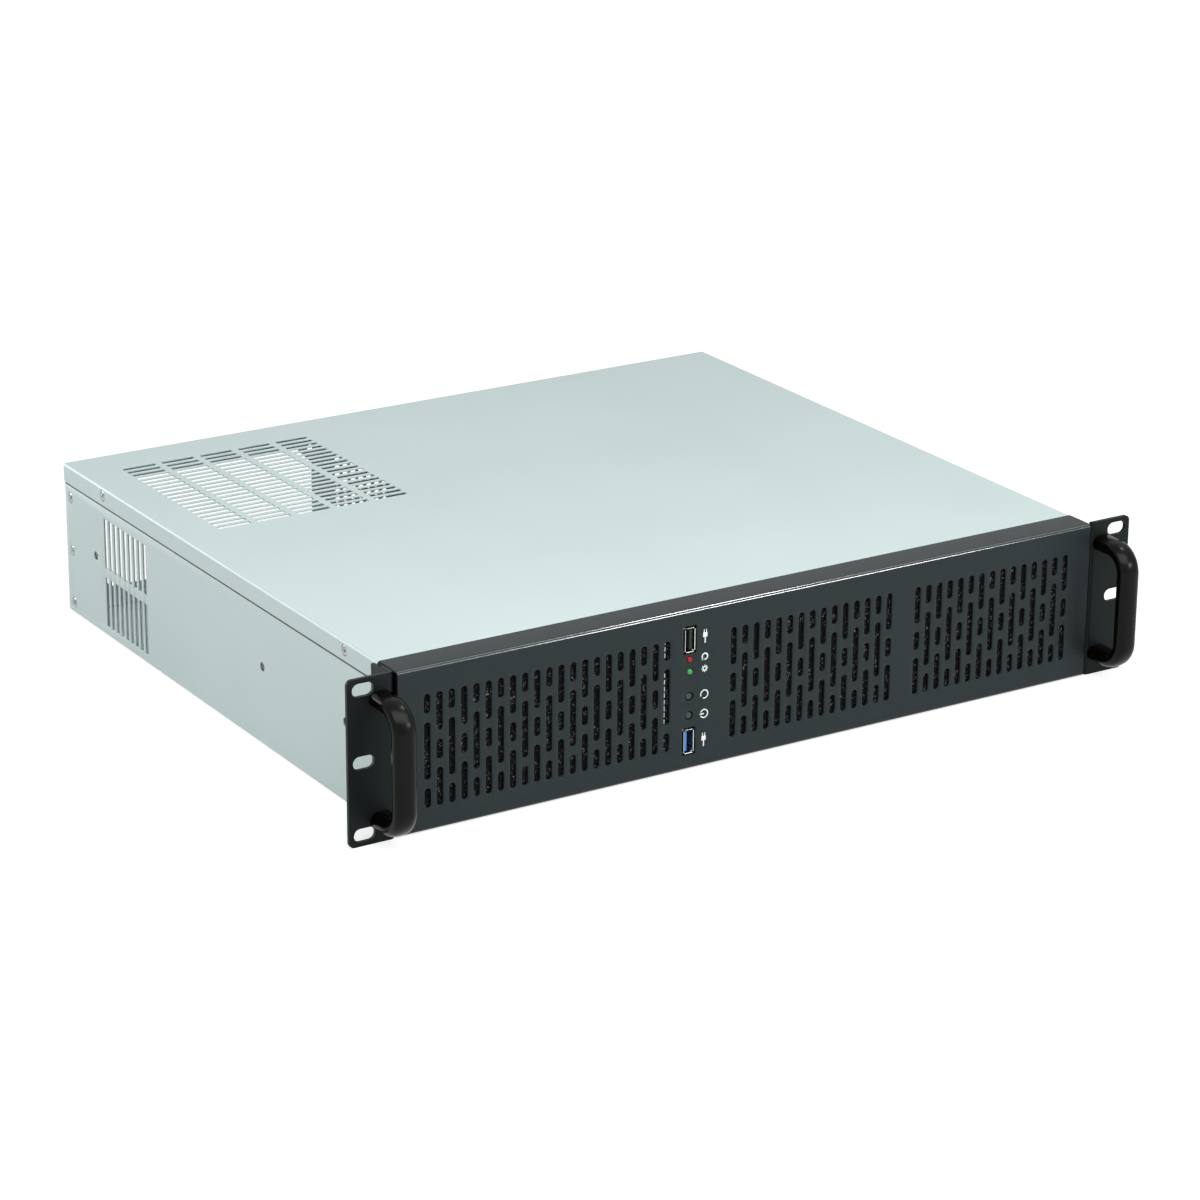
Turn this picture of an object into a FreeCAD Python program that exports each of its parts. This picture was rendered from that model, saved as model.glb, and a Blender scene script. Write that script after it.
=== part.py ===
import FreeCAD, Part

import math
import os
from types import SimpleNamespace

import Sketcher

# Two-unit rack case: folded tray, screwed lid, black front with slots, ears and handles
# Case frame: X to the right, Y to the rear, Z up
# In the sketches Y is 0 at the front of the ears and Z is 0 under the tray
# The whole case is then moved along Y, so that its box is centred on the origin

# Driving sizes in millimetres
SIZES = {
    # overall
    "body_width": 430.0, "body_depth": 378.5, "panel_height": 88.1,
    "cover_top": 87.3, "seam": 0.1,
    # sheets
    "tray_sheet": 1.0, "cover_sheet": 0.8, "rear_sheet": 1.0, "bezel_sheet": 1.2,
    "ear_sheet": 2.0, "inner_sheet": 1.0,
    # tray
    "tray_bend": 1.8, "tray_front": 6.3, "tray_lip": 11.0, "skirt_gap": 0.3, "skirt_shadow": 1.0,
    # cover
    "skirt_height": 10.5, "cover_bend": 1.5, "cover_overhang": 1.0, "rear_lip": 3.5,
    # lid vents
    "lid_vent_length": 20.0, "lid_vent_width": 4.0, "lid_vent_pitch": 6.1, "lid_vent_column": 24.0,
    "lid_vent_inset": 23.5, "lid_vent_back": 26.6,
    # side vents
    "side_vent_height": 29.0, "side_vent_width": 4.0, "side_vent_pitch": 6.06,
    "side_vent_back": 51.52, "side_vent_low": 6.0, "side_vent_high": 40.5,
    # rail holes and side screws
    "rail_hole": 5.0, "rail_height": 44.0, "rail_front": 51.0, "rail_middle": 140.5, "rail_back": 38.0,
    "screw_head": 6.0, "screw_shank": 3.0, "screw_length": 5.0, "screw_play": 0.1,
    "cover_screw_front": 51.0, "cover_screw_back": 49.5, "cover_screw_drop": 4.9,
    "rear_screw_inset": 7.0, "rear_screw_low": 6.5, "rear_screw_step": 31.15, "tap_play": 0.5,
    # bezel
    "bezel_gap": 1.2, "bezel_low": 0.4, "bezel_high": 87.7, "bezel_reach": 1.0,
    "bezel_top_depth": 17.6, "bezel_return": 5.9, "bezel_bend": 2.0, "cover_clearance": 0.3,
    # bezel slots
    "slot_width": 3.5, "slot_pitch": 7.0, "slot_field": 60.4, "slot_low": 12.7, "slot_bridge": 4.6,
    "slot_short": 10.4, "slot_margin": 17.5,
    "left_slots_end": -57.5, "middle_slots_start": -17.0, "middle_slots_end": 81.0,
    "right_slots_start": 99.5,
    # ears
    "ear_reach": 26.3, "ear_flange": 20.0, "ear_flange_drop": 2.0, "ear_corner": 3.0, "ear_bend": 3.0,
    "rack_hole_inset": 8.75, "rack_hole_edge": 5.95, "rack_slot_width": 7.0, "rack_slot_length": 12.0,
    "ear_screw_depth": 13.0, "ear_screw_rise": 50.0,
    # handles
    "handle_offset": 8.0, "handle_spacing": 63.5, "handle_reach": 23.0, "handle_bend": 12.0,
    "handle_wide": 12.6, "handle_thick": 8.6, "handle_screw": 4.0, "handle_screw_length": 12.0,
    "handle_screw_head": 8.0, "handle_screw_head_thick": 2.6,
    # front frame
    "window_margin": 2.0, "window_stop": 3.2, "frame_flange": 13.0, "filter_thick": 5.0,
    # controls
    "control_place": -43.8, "usb2_height": 71.3, "usb3_height": 15.8, "red_height": 60.6,
    "green_height": 54.0, "reset_height": 40.5, "power_height": 30.0,
    "port_wide": 6.2, "port_tall": 13.4, "port_deep": 14.0, "port_wall": 0.4, "port_rim": 0.5,
    "port_cut_play": 0.4, "tongue_thick": 1.9, "tongue_long": 8.6, "tongue_tall": 11.1,
    "tongue_offset": 1.2, "tongue_block": 4.0,
    "lamp_diameter": 3.0, "lamp_shaft": 4.2, "lamp_rim": 3.9, "lamp_rim_thick": 1.0, "lamp_hole": 3.6,
    "lead_pitch": 1.27, "lead_side": 0.5, "button_hole": 4.8, "button_diameter": 4.2,
    "button_recess": 0.5, "button_travel": 1.0, "button_collar": 6.4, "button_collar_thick": 1.0,
    "board_thick": 1.6, "board_wide": 16.0, "board_low": 6.0, "board_high": 81.0,
    "switch_side": 6.0, "switch_deep": 3.0, "switch_tip": 3.4, "bracket_flange": 6.0,
    # rear panel openings
    "supply_inset": 16.0, "supply_wide": 140.0, "supply_low": 9.5, "supply_high": 72.0,
    "supply_corner": 10.0, "supply_hole": 3.8, "supply_screw_wide": 138.0,
    "supply_screw_narrow": 114.0, "supply_screw_low": 7.3, "supply_screw_step": 64.0,
    "supply_screw_rise": 74.0,
    "shield_wide": 158.75, "shield_tall": 44.45, "shield_inset": 6.75, "shield_low": 6.0,
    "slot_cover_wide": 14.3, "slot_cover_gap": 13.5, "slot_cover_pitch": 20.32,
    "slot_cover_low": 6.5, "slot_cover_high": 71.0, "slot_cover_margin": 2.0, "slot_cover_foot": 3.0,
    "slot_cover_head": 8.0, "slot_screw_rise": 4.0, "slot_screw_head": 5.6, "slot_screw_head_thick": 1.8,
    "rear_vent_gap": 16.8, "rear_vent_low": 31.0, "rear_vent_pitch": 5.2, "rear_vent_flat": 3.4,
    "rear_flange": 14.0, "rear_foot": 9.0, "rear_corner": 1.5, "rear_shoulder_drop": 1.0,
    "rear_flange_gap": 2.0,
    # inside
    "standoff_tall": 6.5, "standoff_flat": 5.0, "standoff_bore": 3.0,
    "board_hole_wide": 203.2, "board_hole_middle": 157.48, "board_hole_deep": 227.33,
    "board_hole_inset": 18.0, "board_hole_back": 16.5,
    "fan_bracket_place": 36.0, "fan_opening": 76.0, "fan_pitch": 116.5, "fan_height": 43.5,
    "fan_inset": 66.5,
    "fan_hole_pitch": 71.5, "fan_hole": 4.4, "fan_bracket_tall": 82.0, "fan_foot": 12.0, "fan_margin": 8.0,
    "cage_inset": 16.0, "cage_inside": 101.8, "cage_front": 30.0, "cage_deep": 147.0, "cage_tall": 60.0,
    "cage_slot_long": 12.0, "cage_slot_wide": 3.6, "cage_slot_low": 9.0, "cage_slot_rise": 26.0,
    "cage_slot_pitch": 48.0, "cage_slot_front": 24.0,
    "brace_place": 206.0, "brace_top": 14.0, "brace_foot": 8.0, "brace_drop": 12.0,
}

SLOT_END_FACETS = 3
HIDDEN_SIDES = 8
BAY_COLUMNS = 8
SLOT_COVERS = 2
FANS = 2
LID_VENT_COLUMNS, LID_VENT_ROWS = 5, 20
SIDE_VENTS = 9
REAR_VENT_COLUMNS, REAR_VENT_ROWS = 7, 8
CAGE_SLOTS = 3
PAST = 1.0  # cuts start and end this far outside the sheet
TINY = 1e-6
NEAR = 1e-3

doc = FreeCAD.newDocument("rack_case")
sheet = doc.addObject("Spreadsheet::Sheet", "Sizes")
for row, (alias, value) in enumerate(SIZES.items(), start=1):
    sheet.set("A%d" % row, alias.replace("_", " "))
    sheet.set("B%d" % row, str(value))
    sheet.setAlias("B%d" % row, alias)
doc.recompute()


class Size:
    """A length together with the sheet formula that gives it."""

    def __init__(self, value, formula):
        self.value = float(value)
        self.formula = formula

    def _join(self, other, sign, value):
        return Size(value, "(%s %s %s)" % (self.formula, sign, sized(other).formula))

    def __add__(self, other):
        return self._join(other, "+", self.value + sized(other).value)

    def __sub__(self, other):
        return self._join(other, "-", self.value - sized(other).value)

    def __mul__(self, other):
        return self._join(other, "*", self.value * sized(other).value)

    def __truediv__(self, other):
        return self._join(other, "/", self.value / sized(other).value)

    def __radd__(self, other):
        return sized(other) + self

    def __rsub__(self, other):
        return sized(other) - self

    def __rmul__(self, other):
        return sized(other) * self

    def __neg__(self):
        return self * -1


def sized(item):
    """Turn a plain number into a Size."""
    if isinstance(item, Size):
        return item
    return Size(item, "(%r)" % float(item))


s = SimpleNamespace(**{alias: Size(value, "Sizes." + alias) for alias, value in SIZES.items()})

# Planes and edges that several pieces share
half_body = s.body_width / 2
half_bezel = half_body - s.bezel_gap
ear_tip = half_body + s.ear_reach
handle_place = half_body + s.handle_offset
cover_under = s.cover_top - s.cover_sheet
skirt_low = s.cover_top - s.skirt_height
jog = s.cover_sheet + s.skirt_gap
wall_upper = half_body - jog
tray_top = cover_under - s.seam
panel_back = s.body_depth
panel_front = s.body_depth - s.rear_sheet
cover_back = s.body_depth + s.cover_overhang
bezel_front = -s.bezel_reach
bezel_inside = bezel_front + s.bezel_sheet
frame_front = s.tray_front
frame_back = frame_front + s.inner_sheet
handle_front = s.handle_reach + s.handle_thick / 2
middle_height = s.panel_height / 2
case_shift = (handle_front - cover_back) / 2
inner_wall = half_body - s.tray_sheet
board_face = bezel_front + s.port_deep + s.seam
supply_left = s.supply_inset - half_body
supply_right = supply_left + s.supply_wide
shield_right = half_body - s.shield_inset
shield_left = shield_right - s.shield_wide

parts = {}


def ordered(first, second):
    """Two places, the lower one first."""
    return sorted((first, second), key=lambda item: item.value)


def seat(item, label, front=0):
    """Name a finished sub-part and move it into the centred frame."""
    item.Label = label
    item.setExpression("Placement.Base.y", (case_shift + front).formula)
    parts[label] = item
    return item


def bind_place(item, x, y, z):
    """Tie a primitive's corner or centre to the sheet."""
    for axis, place in zip("xyz", (x, y, z)):
        item.setExpression("Placement.Base." + axis, sized(place).formula)


# A body made in bays keeps the seams between them, so that no face carries too many holes
IN_BAYS = {"front_bezel"}

# Sketch planes of a body: how far a plane lies along its axis, and the sign of the sketch normal
NORMAL_SIGN = {"XY_Plane": 1, "XZ_Plane": -1, "YZ_Plane": 1}


def new_body(label):
    """A body that will become one sub-part."""
    return seat(doc.addObject("PartDesign::Body", label), label)


def new_sketch(body, role, place):
    """A sketch on one of the body's own origin planes, moved along its axis to place."""
    sketch = body.newObject("Sketcher::SketchObject", body.Name + "_sketch")
    plane = next(item for item in body.Origin.OriginFeatures if item.Role == role)
    sketch.AttachmentSupport = [(plane, "")]
    sketch.MapMode = "FlatFace"
    sketch.setExpression("AttachmentOffset.Base.z", (sized(place) * NORMAL_SIGN[role]).formula)
    return sketch


def pin_point(sketch, geometry, point, u, v):
    """Hold one point of a sketch at u, v from the sketch's origin."""
    for kind, place in (("DistanceX", u), ("DistanceY", v)):
        place = sized(place)
        number = sketch.addConstraint(Sketcher.Constraint(kind, -1, 1, geometry, point, place.value))
        sketch.setExpression("Constraints[%d]" % number, place.formula)


def draw_outline(sketch, outline):
    """Close a polygon through the outline's points."""
    points = [(sized(u), sized(v)) for u, v in outline]
    first = sketch.GeometryCount
    count = len(points)
    for number, (u, v) in enumerate(points):
        after_u, after_v = points[(number + 1) % count]
        start = FreeCAD.Vector(u.value, v.value, 0)
        sketch.addGeometry(Part.LineSegment(start, FreeCAD.Vector(after_u.value, after_v.value, 0)), False)
    for number, (u, v) in enumerate(points):
        after = first + (number + 1) % count
        sketch.addConstraint(Sketcher.Constraint("Coincident", first + number, 2, after, 1))
        pin_point(sketch, first + number, 1, u, v)


def draw_circle(sketch, u, v, radius):
    """A circle with its centre and radius tied to the sheet."""
    u, v, radius = sized(u), sized(v), sized(radius)
    centre = FreeCAD.Vector(u.value, v.value, 0)
    number = sketch.addGeometry(Part.Circle(centre, FreeCAD.Vector(0, 0, 1), radius.value), False)
    pin_point(sketch, number, 3, u, v)
    size = sketch.addConstraint(Sketcher.Constraint("Radius", number, radius.value))
    sketch.setExpression("Constraints[%d]" % size, radius.formula)


def box_outline(u_low, v_low, u_high, v_high):
    """The four corners of an upright rectangle."""
    return [(u_low, v_low), (u_high, v_low), (u_high, v_high), (u_low, v_high)]


def round_ended(u, v_low, v_high, width):
    """An upright slot with faceted round ends."""
    radius = width / 2
    angles = [math.pi * step / SLOT_END_FACETS for step in range(SLOT_END_FACETS + 1)]
    top = [(u + radius * math.cos(angle), v_high - radius + radius * math.sin(angle)) for angle in angles]
    bottom = [(u - radius * math.cos(angle), v_low + radius - radius * math.sin(angle)) for angle in angles]
    return top + bottom


def polygon_round(u, v, radius, sides, turn=0.0):
    """A regular polygon whose corners lie on the radius."""
    angles = [turn + 2 * math.pi * step / sides for step in range(sides)]
    return [(u + radius * math.cos(angle), v + radius * math.sin(angle)) for angle in angles]


def add_feature(body, kind, role, low, high, outlines, circles):
    """Pad or pocket the drawn shapes between two planes, along the plane's own axis."""
    sketch = new_sketch(body, role, low)
    for outline in outlines:
        draw_outline(sketch, outline)
    for circle in circles:
        draw_circle(sketch, *circle)
    feature = body.newObject("PartDesign::" + kind, body.Name + "_" + kind.lower())
    feature.Profile = sketch
    feature.setExpression("Length", (sized(high) - sized(low)).formula)
    along = NORMAL_SIGN[role] > 0
    feature.Reversed = (not along) if kind == "Pad" else along
    feature.Refine = body.Label not in IN_BAYS
    return feature


def pad(body, role, low, high, *outlines, circles=()):
    """Add a plate between two planes."""
    return add_feature(body, "Pad", role, low, high, outlines, circles)


def pocket(body, role, low, high, *outlines, circles=()):
    """Cut through between two planes, and make sure that something was cut."""
    doc.recompute()
    before = body.Shape.Volume
    feature = add_feature(body, "Pocket", role, low, high, outlines, circles)
    doc.recompute()
    if body.Shape.Volume >= before - TINY:
        raise RuntimeError("a pocket in %s cuts nothing" % body.Label)
    return feature


def axis_of(body, role):
    return next(item for item in body.Origin.OriginFeatures if item.Role == role)


def repeat(body, feature, role, pitch, count, second=None):
    """Copy a feature along one axis of the body, or along two."""
    pattern = body.newObject("PartDesign::LinearPattern", body.Name + "_pattern")
    pattern.Originals = [feature]
    pattern.Refine = body.Label not in IN_BAYS
    pattern.Direction = (axis_of(body, role), [""])
    pattern.Mode = "Spacing"
    pattern.setExpression("Offset", sized(pitch).formula)
    pattern.Occurrences = count
    if second:
        role, pitch, count = second
        pattern.Direction2 = (axis_of(body, role), [""])
        pattern.Mode2 = "Spacing"
        pattern.setExpression("Offset2", sized(pitch).formula)
        pattern.Occurrences2 = count
    body.Tip = pattern
    return pattern


def edges_through(shape, places, axis):
    """Names of the straight edges along an axis that pass through the given places."""
    others = [number for number in range(3) if number != axis]
    names = []
    for number, edge in enumerate(shape.Edges, start=1):
        ends = [vertex.Point for vertex in edge.Vertexes]
        if len(ends) != 2 or any(abs(ends[0][other] - ends[1][other]) > TINY for other in others):
            continue
        for place in places:
            if all(abs(ends[0][other] - place[slot]) < NEAR for slot, other in enumerate(others)):
                names.append("Edge%d" % number)
    return names


def round_edges(body, radius, axis, *places):
    """Bend or round the edges along an axis (0, 1 or 2) at the given places."""
    doc.recompute()
    tip = body.Tip
    spots = [tuple(sized(item).value for item in place) for place in places]
    names = edges_through(tip.Shape, spots, axis)
    if len(names) < len(spots):
        raise RuntimeError("%s has no edge to round at %s" % (body.Label, spots))
    fillet = body.newObject("PartDesign::Fillet", body.Name + "_round")
    fillet.Base = (tip, names)
    fillet.setExpression("Radius", sized(radius).formula)
    fillet.Refine = body.Label not in IN_BAYS
    return fillet


def fused(label, tools):
    """One sub-part made by joining primitives."""
    joined = doc.addObject("Part::MultiFuse", label)
    joined.Shapes = tools
    return seat(joined, label)


def grouped(label, items):
    """One sub-part that holds several like pieces."""
    group = doc.addObject("Part::Compound", label)
    group.Links = items
    return seat(group, label)


def block(name, low, high):
    """A box between two corners."""
    item = doc.addObject("Part::Box", name)
    bind_place(item, *low)
    for size, start, end in zip(("Length", "Width", "Height"), low, high):
        item.setExpression(size, (sized(end) - sized(start)).formula)
    return item


ALONG = {
    "+Z": FreeCAD.Rotation(),
    "+Y": FreeCAD.Rotation(FreeCAD.Vector(1, 0, 0), -90),
    "-Y": FreeCAD.Rotation(FreeCAD.Vector(1, 0, 0), 90),
    "+X": FreeCAD.Rotation(FreeCAD.Vector(0, 1, 0), 90),
    "-X": FreeCAD.Rotation(FreeCAD.Vector(0, 1, 0), -90),
}


def rod(name, start, way, radius, length):
    """A cylinder that starts at a point and runs one way."""
    item = doc.addObject("Part::Cylinder", name)
    item.Placement = FreeCAD.Placement(FreeCAD.Vector(), ALONG[way])
    bind_place(item, *start)
    item.setExpression("Radius", sized(radius).formula)
    item.setExpression("Height", sized(length).formula)
    return item


def taper(name, start, way, radius, end_radius, length):
    """A cone's frustum that starts at a point and runs one way."""
    item = doc.addObject("Part::Cone", name)
    item.Placement = FreeCAD.Placement(FreeCAD.Vector(), ALONG[way])
    bind_place(item, *start)
    item.setExpression("Radius1", sized(radius).formula)
    item.setExpression("Radius2", sized(end_radius).formula)
    item.setExpression("Height", sized(length).formula)
    return item


def prism(name, start, way, radius, length, sides=6):
    """A regular prism, its corners on the radius, that starts at a point and runs one way."""
    item = doc.addObject("Part::Prism", name)
    item.Polygon = sides
    item.Placement = FreeCAD.Placement(FreeCAD.Vector(), ALONG[way])
    bind_place(item, *start)
    item.setExpression("Circumradius", sized(radius).formula)
    item.setExpression("Height", sized(length).formula)
    return item


def joined_pair(name, tools):
    """A screw or like piece made by joining its primitives."""
    joined = doc.addObject("Part::MultiFuse", name)
    joined.Shapes = tools
    return joined


# Side screws: countersunk heads flush with the sheet that they hold
cover_screw_height = s.cover_top - s.cover_screw_drop
cover_screw_places = [s.cover_screw_front, s.body_depth - s.cover_screw_back]
rear_screw_place = s.body_depth - s.rear_screw_inset
rear_screw_heights = [s.rear_screw_low + s.rear_screw_step * step for step in range(3)]
ear_screw_heights = [middle_height - s.ear_screw_rise / 2, middle_height + s.ear_screw_rise / 2]
ear_outer = half_body + s.ear_sheet
head_hole = s.screw_head / 2 + s.screw_play
shank_hole = s.screw_shank / 2 + s.screw_play
tap_hole = s.screw_shank / 2 + s.tap_play
head_deep = s.screw_head / 2 - s.screw_shank / 2


def side_screw(name, side, face, y, z):
    """A countersunk screw whose flat head lies in a side face."""
    way = "-X" if side > 0 else "+X"
    inward = -side
    head = taper(name + "_head", (side * face, y, z), way, s.screw_head / 2, s.screw_shank / 2, head_deep)
    start = side * face + inward * head_deep
    shank = prism(name + "_shank", (start, y, z), way, s.screw_shank / 2, s.screw_length - head_deep)
    return joined_pair(name, [head, shank])


def hidden_hole(u, v, radius):
    """A many-sided hole that a screw head covers."""
    half_side = math.pi / HIDDEN_SIDES
    return polygon_round(u, v, radius / math.cos(half_side), HIDDEN_SIDES, half_side)


# Tray: floor, side walls and the flanges that the lid lies on, folded from one sheet
def build_tray():
    body = new_body("chassis_tray")
    sheet_t = s.tray_sheet
    corner = sheet_t * math.tan(math.pi / 8)
    jog_low = skirt_low - s.skirt_shadow
    jog_high = jog_low + jog
    flange_in = wall_upper - s.tray_lip
    right = [
        (half_body, 0), (half_body, jog_low), (wall_upper, jog_high), (wall_upper, tray_top),
        (flange_in, tray_top), (flange_in, tray_top - sheet_t),
        (wall_upper - sheet_t, tray_top - sheet_t), (wall_upper - sheet_t, jog_high - corner),
        (half_body - sheet_t, jog_low - corner), (half_body - sheet_t, sheet_t),
    ]
    left = [(-sized(u), v) for u, v in reversed(right)]
    pad(body, "XZ_Plane", s.tray_front, s.body_depth, right + left)
    round_edges(body, s.tray_bend, 1, (half_body, 0), (-half_body, 0))
    inner = s.tray_bend - sheet_t
    round_edges(body, inner, 1, (inner_wall, sheet_t), (-inner_wall, sheet_t))
    notch = box_outline(s.tray_front - PAST, jog_low, s.bezel_top_depth, tray_top + PAST)
    pocket(body, "YZ_Plane", -half_body - PAST, half_body + PAST, notch)
    half_vent = s.side_vent_width / 2
    first_vent = s.body_depth - s.side_vent_back - s.side_vent_pitch * (SIDE_VENTS - 1)
    vents = [box_outline(first_vent - half_vent, low, first_vent + half_vent, low + s.side_vent_height)
             for low in (s.side_vent_low, s.side_vent_high)]
    cut = pocket(body, "YZ_Plane", -half_body - PAST, half_body + PAST, *vents)
    repeat(body, cut, "Y_Axis", s.side_vent_pitch, SIDE_VENTS)
    rail_places = (s.rail_front, s.rail_middle, s.body_depth - s.rail_back)
    rails = [(place, s.rail_height, s.rail_hole / 2) for place in rail_places]
    pocket(body, "YZ_Plane", -half_body - PAST, half_body + PAST, circles=rails)
    heads = [(rear_screw_place, height, head_hole) for height in rear_screw_heights]
    pocket(body, "YZ_Plane", -half_body - PAST, half_body + PAST, circles=heads)
    taps = [hidden_hole(place, cover_screw_height, tap_hole) for place in cover_screw_places]
    taps += [hidden_hole(s.ear_screw_depth, height, shank_hole) for height in ear_screw_heights]
    pocket(body, "YZ_Plane", -half_body - PAST, half_body + PAST, *taps)


# Lid: top plate with a skirt down each side and a short lip at the rear
def build_cover():
    body = new_body("top_cover")
    sheet_t = s.cover_sheet
    cover_front = s.bezel_top_depth + s.cover_clearance
    section = [
        (-half_body, skirt_low), (-half_body, s.cover_top), (half_body, s.cover_top), (half_body, skirt_low),
        (half_body - sheet_t, skirt_low), (half_body - sheet_t, cover_under),
        (-half_body + sheet_t, cover_under), (-half_body + sheet_t, skirt_low),
    ]
    pad(body, "XZ_Plane", cover_front, cover_back, section)
    round_edges(body, s.cover_bend, 1, (half_body, s.cover_top), (-half_body, s.cover_top))
    lip = box_outline(-half_body + sheet_t + s.cover_bend, s.cover_top - s.rear_lip,
                      half_body - sheet_t - s.cover_bend, cover_under + sheet_t / 2)
    pad(body, "XZ_Plane", cover_back - sheet_t, cover_back, lip)
    columns = []
    half_vent = s.lid_vent_width / 2
    first_row = s.body_depth - s.lid_vent_back - s.lid_vent_pitch * (LID_VENT_ROWS - 1)
    for column in range(LID_VENT_COLUMNS):
        start = s.lid_vent_inset - half_body + s.lid_vent_column * column
        columns.append(box_outline(start, first_row - half_vent,
                                   start + s.lid_vent_length, first_row + half_vent))
    cut = pocket(body, "XY_Plane", cover_under - PAST, s.cover_top + PAST, *columns)
    repeat(body, cut, "Y_Axis", s.lid_vent_pitch, LID_VENT_ROWS)
    heads = [(place, cover_screw_height, head_hole) for place in cover_screw_places]
    pocket(body, "YZ_Plane", -half_body - PAST, half_body + PAST, circles=heads)


# Rear panel: its own sheet, with flanges for the side screws and a flange under the lid
def build_rear_panel():
    body = new_body("rear_panel")
    sheet_t = s.rear_sheet
    wide = inner_wall - s.seam
    narrow = wall_upper - s.tray_sheet - s.seam
    low = s.tray_sheet + s.seam
    high = tray_top - s.tray_sheet - s.seam
    step = skirt_low - s.skirt_shadow - s.rear_shoulder_drop
    flange_front = panel_front - s.rear_flange
    cut = s.rear_corner
    plate = [(-wide, low + cut), (-wide + cut, low), (wide - cut, low), (wide, low + cut), (wide, step),
             (narrow, step), (narrow, high), (-narrow, high), (-narrow, step), (-wide, step)]
    pad(body, "XZ_Plane", panel_front, panel_back, plate)
    side_low, side_high = low + s.rear_flange_gap, step - s.rear_flange_gap
    for side in (-1, 1):
        edges = ordered(side * wide, side * (wide - sheet_t))
        flange = box_outline(edges[0], side_low, edges[1], side_high)
        pad(body, "XZ_Plane", flange_front, panel_front, flange)
    inner = narrow - s.tray_lip
    pad(body, "XZ_Plane", flange_front, panel_front, box_outline(-inner, high - sheet_t, inner, high))
    pad(body, "XZ_Plane", panel_front - s.rear_foot, panel_front,
        box_outline(-inner, low, inner, low + sheet_t))
    taps = [hidden_hole(rear_screw_place, height, tap_hole) for height in rear_screw_heights]
    pocket(body, "YZ_Plane", -half_body - PAST, half_body + PAST, *taps)
    left, right = supply_left, supply_right
    bottom, top, cut = s.supply_low, s.supply_high, s.supply_corner
    supply = [(left + cut, bottom), (right - cut, bottom), (right, bottom + cut), (right, top - cut),
              (right - cut, top), (left + cut, top), (left, top - cut), (left, bottom + cut)]
    shield = box_outline(shield_left, s.shield_low, shield_right, s.shield_low + s.shield_tall)
    slots = []
    for number in range(SLOT_COVERS):
        middle = slot_middle(number)
        slots.append(hidden_hole(middle, s.slot_cover_high + s.slot_screw_rise, shank_hole))
        slots.append(box_outline(middle - s.slot_cover_wide / 2, s.slot_cover_low,
                                 middle + s.slot_cover_wide / 2, s.slot_cover_high))
    pocket(body, "XZ_Plane", panel_front - PAST, panel_back + PAST, supply, shield, *slots)
    centre = supply_left + s.supply_wide / 2
    half_wide = s.supply_screw_wide / 2
    low_row = s.supply_screw_low
    screws = [(centre - half_wide, low_row), (centre + half_wide, low_row),
              (centre + half_wide, low_row + s.supply_screw_step),
              (centre + half_wide - s.supply_screw_narrow, low_row + s.supply_screw_rise)]
    pocket(body, "XZ_Plane", panel_front - PAST, panel_back + PAST,
           circles=[(u, v, s.supply_hole / 2) for u, v in screws])
    corner = s.rear_vent_flat / math.sqrt(3)
    hole = polygon_round(supply_right + s.rear_vent_gap, s.rear_vent_low, corner, 6, math.pi / 6)
    vent = pocket(body, "XZ_Plane", panel_front - PAST, panel_back + PAST, hole)
    repeat(body, vent, "X_Axis", s.rear_vent_pitch, REAR_VENT_COLUMNS,
           ("Z_Axis", s.rear_vent_pitch, REAR_VENT_ROWS))


# Bezel slots: two column kinds that take turns, so that the bridges form a brick pattern
slot_top = s.slot_low + s.slot_field
slot_lengths = s.slot_field - s.slot_bridge * 2
KIND_LONG = (s.slot_short, slot_lengths - s.slot_short * 2, s.slot_short)
KIND_EVEN = ((slot_lengths - s.slot_short) / 2, s.slot_short, (slot_lengths - s.slot_short) / 2)


def slot_column(u, lengths):
    """Three slots above each other, from the field's foot to its top."""
    outlines = []
    low = s.slot_low
    for length in lengths:
        outlines.append(round_ended(u, low, low + length, s.slot_width))
        low = low + length + s.slot_bridge
    return outlines


def columns_between(first, last):
    """How many columns fit from the first place to the last."""
    return 1 + int((last - first).value / s.slot_pitch.value + NEAR)


left_columns = columns_between(s.slot_margin - half_body, s.left_slots_end)
middle_columns = columns_between(s.middle_slots_start, s.middle_slots_end)
right_columns = columns_between(s.right_slots_start, half_body - s.slot_margin)
left_slots_start = s.left_slots_end - s.slot_pitch * (left_columns - 1)

# First column, number of columns, and the kinds of the first and second column
SLOT_GROUPS = [
    (left_slots_start, left_columns, KIND_LONG, KIND_EVEN),
    (s.middle_slots_start, middle_columns, KIND_EVEN, KIND_LONG),
    (s.right_slots_start, right_columns, KIND_EVEN, KIND_LONG),
]


def bay_counts(columns):
    """Share a group's columns out to bays as evenly as they go."""
    bays = math.ceil(columns / BAY_COLUMNS)
    fewest, extra = divmod(columns, bays)
    return [fewest + 1] * extra + [fewest] * (bays - extra)


def bay_ends():
    """The face is made of bays side by side; each bay ends half a pitch past its last column."""
    ends = []
    for start, columns, _, _ in SLOT_GROUPS:
        done = 0
        for count in bay_counts(columns):
            done += count
            ends.append(start + s.slot_pitch * (done - 1) + s.slot_pitch / 2)
    return [-half_bezel] + ends[:-1] + [half_bezel]


def cut_slots(body):
    """Cut each group as repeated pairs of columns, and an odd last column by itself."""
    front, back = bezel_front - PAST, bezel_inside + PAST
    for start, columns, first, second in SLOT_GROUPS:
        pairs, odd = divmod(columns, 2)
        pair = slot_column(start, first) + slot_column(start + s.slot_pitch, second)
        cut = pocket(body, "XZ_Plane", front, back, *pair)
        repeat(body, cut, "X_Axis", s.slot_pitch * 2, pairs)
        if odd:
            last = start + s.slot_pitch * (columns - 1)
            pocket(body, "XZ_Plane", front, back, *slot_column(last, first))


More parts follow.
